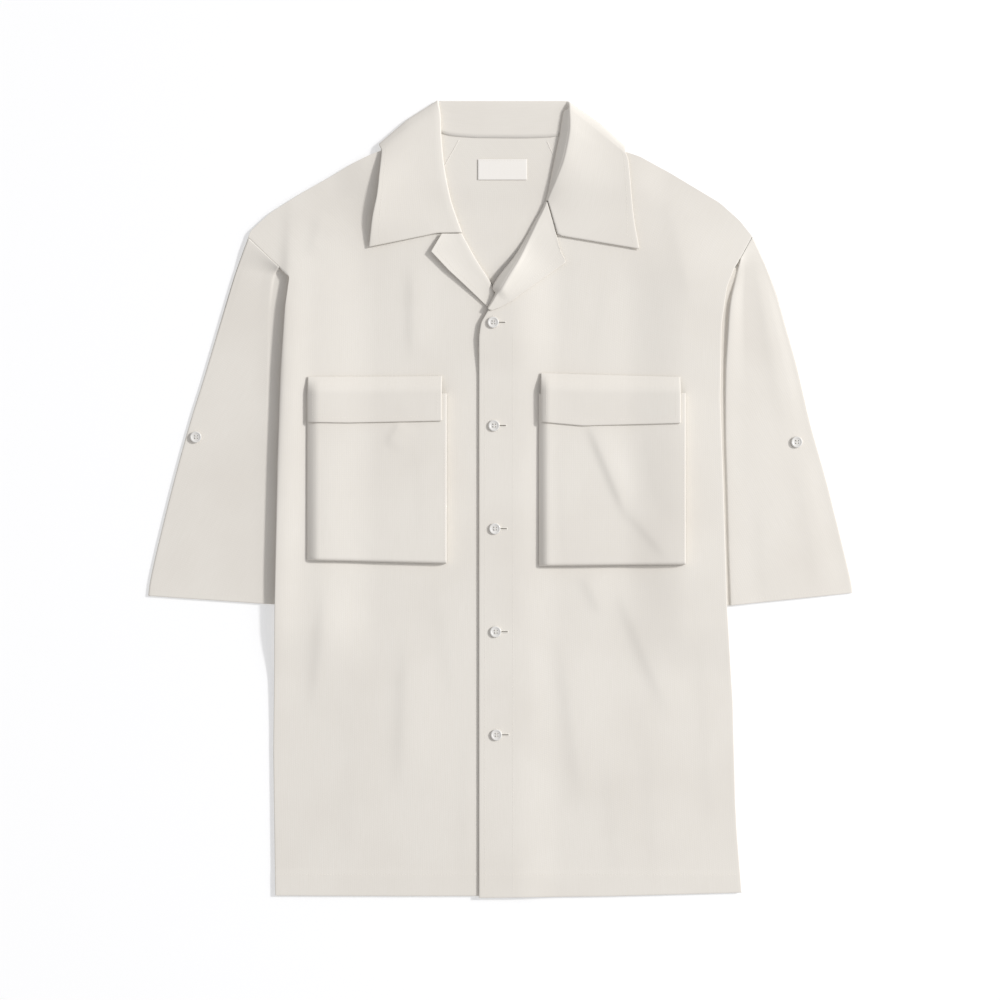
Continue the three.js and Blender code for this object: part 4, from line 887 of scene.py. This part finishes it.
def sleeve_line(side, share, s):
    """A line across the sleeve's upper layer, at a share of its length from the armhole."""
    k = int(share * (SLEEVE_SECTIONS - 1))
    outer, crest, inner, rise = (column[k:k + 1] for column in sleeve_sections(side, SLEEVE_SECTIONS))
    return np.concatenate([sleeve_front(outer, crest, rise, t, 0) for t in s]) + [0, 0, ON_TOP]

for side in sleeves:
    sew(f"sleeve_hem_stitches_{side}", sleeve_line(side, 1 - SLEEVE_HEM_SHARE, np.linspace(0.03, 0.97, 40)))

felled = [lifted(np.linspace(*ends, 20), lambda x, y: back_z(x, y) + ON_TOP) for ends in FELLED_SEAMS]
tubes("neck_felled_seams", felled, 0.55, flat=0.5, material=poplin)
label_ends = [(LABEL_X + 0.5, LABEL_Y - 1.5), (LABEL_X + LABEL_MM[0] - 0.5, LABEL_Y - 1.5)]
sew("label_stitches", lifted(np.linspace(*label_ends, 30), lambda x, y: label_z(x, y) + LABEL_THICK / 2))

# %% [markdown]
# The buttons are pearl shell: pale grey, cloudy, with a raised rim, a dished middle and four thread holes. Each is
# a profile turned round its axis on a fine grid, and the holes are dips of that surface, deep enough to look dark.

# %% Button finish
shell, tree = new_material("pearl_shell_polished")
nacre = blend(tree, noise(tree, Scale=260.0, Detail=3.0, Distortion=1.2), "#D2CFCA", "#F0EEEA")
finish_material(tree, [("Base Color", nacre)], Roughness=0.28, Coat_Weight=0.3, Coat_Roughness=0.15)

# %% [markdown]
# Each button sits in the place of its solid and is held by two bars of thread, each through a pair of its holes.

# %% Buttons
BUTTON_PROFILE = [(0, 0), (4.2, 0), (5.1, 0.35), (5.6, 0.9), (5.75, 1.5), (5.6, 2.05), (5.2, 2.4), (4.6, 2.4),
                  (4.0, 2.2), (3.5, 1.95), (3.0, 1.85), (0, 1.85)]  # radius and height in mm
HOLE_APART, HOLE_R, HOLE_DEEP, HOLE_LIP = 1.25, 0.62, 1.3, (0.15, 0.1)
TURN_STEPS, RIM_STEPS, DISH_STEPS = 72, 26, 22
BAR_TOP, BAR_DIP, BAR_R = 2.05, 1.2, 0.34
BUTTONS = [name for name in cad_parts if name.startswith("button_")]

def make_button(name):
    """The profile's radius and height at each share of its length, turned round, less a dip at each hole."""
    low, high = (1000 * np.array(corner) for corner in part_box(name))
    profile = np.array(BUTTON_PROFILE)
    at = run_lengths(profile)
    dish = at[-2] + np.linspace(0, 1, DISH_STEPS)[1:] * (at[-1] - at[-2])
    share = np.concatenate([np.linspace(0, at[-2], RIM_STEPS), dish])
    radius, height = (np.interp(share, at, profile[:, k])[:, None] for k in (0, 1))
    angle = np.linspace(0, 2 * np.pi, TURN_STEPS + 1)[None, :-1]
    x, y = radius * np.cos(angle), radius * np.sin(angle)
    inner = share[:, None] > at[-2]
    from_hole = np.hypot(np.abs(x) - HOLE_APART, np.abs(y) - HOLE_APART)
    z = height - HOLE_DEEP * inner * (1 - smooth(HOLE_R - HOLE_LIP[0], HOLE_R + HOLE_LIP[1], from_hole))
    centre = [(low[0] + high[0]) / 2, (low[1] + high[1]) / 2, low[2]]
    grid = np.stack([x, y, z], -1) + centre
    piece = add_mesh(name + "_pearl", grid.reshape(-1, 3), ring_cells(*grid.shape[:2])[0], material=shell)
    close_poles(piece)
    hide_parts(name)
    span = np.linspace(-1, 1, 9)
    bars = [stacked(HOLE_APART * span, row, BAR_TOP - BAR_DIP * np.abs(span) ** 5) + centre
            for row in (-HOLE_APART, HOLE_APART)]
    tubes(name + "_thread", bars, BAR_R)
    return centre

def close_poles(piece):
    made = bmesh.new()
    made.from_mesh(piece.data)
    bmesh.ops.remove_doubles(made, verts=made.verts, dist=1e-7)
    bmesh.ops.recalc_face_normals(made, faces=made.faces)
    made.to_mesh(piece.data)
    made.free()

centres = {name: make_button(name) for name in BUTTONS}
print("buttons:", len(centres))

# %% [markdown]
# A shirt's buttonhole is a 15 mm slit whose edges are worked over with close stitches, and the button sits at
# the end nearest to the edge. Beside each front button the far end of the slit shows as a short dark line, which
# is painted shade: a thin tube of dark colour laid on the cloth where the opening would be in shade.

# %% Buttonholes
HOLE_LONG, HOLE_FROM, BEAD_MM = 15.0, -2.6, 0.9
# the slit's dark grey-brown is painted shade, the dark of the opening between the plies laid on as a colour
slit, tree = new_material("buttonhole_slit_painted_shade")
shade = blend(tree, noise(tree, Scale=900.0, Detail=1.0), "#5E5850", "#8A837A")
finish_material(tree, [("Base Color", shade)], Roughness=0.95)

beads, slit_shade_paths = [], []
for name, centre in centres.items():
    if name.startswith("button_front"):
        turn = np.linspace(0, 2 * np.pi, 49)
        across = centre[0] + HOLE_FROM + HOLE_LONG * (0.5 + 0.5 * np.clip(1.06 * np.cos(turn), -1, 1))
        up = centre[1] + BEAD_MM * np.clip(3 * np.sin(turn), -1, 1)
        beads.append(on_front("left", across, up) + [0, 0, 0.05])
        x = np.linspace(centre[0] + HOLE_FROM + 1, centre[0] + HOLE_FROM + HOLE_LONG - 0.6, 12)
        slit_shade_paths.append(on_front("left", x, centre[1]) + [0, 0, 0.02])
tubes("buttonhole_worked_edges", beads, 0.5, flat=0.5)
# the slits are thin tubes of that painted shade, laid just above the front
tubes("buttonhole_slits_painted_shade", slit_shade_paths, 0.42, flat=0.35, material=slit)
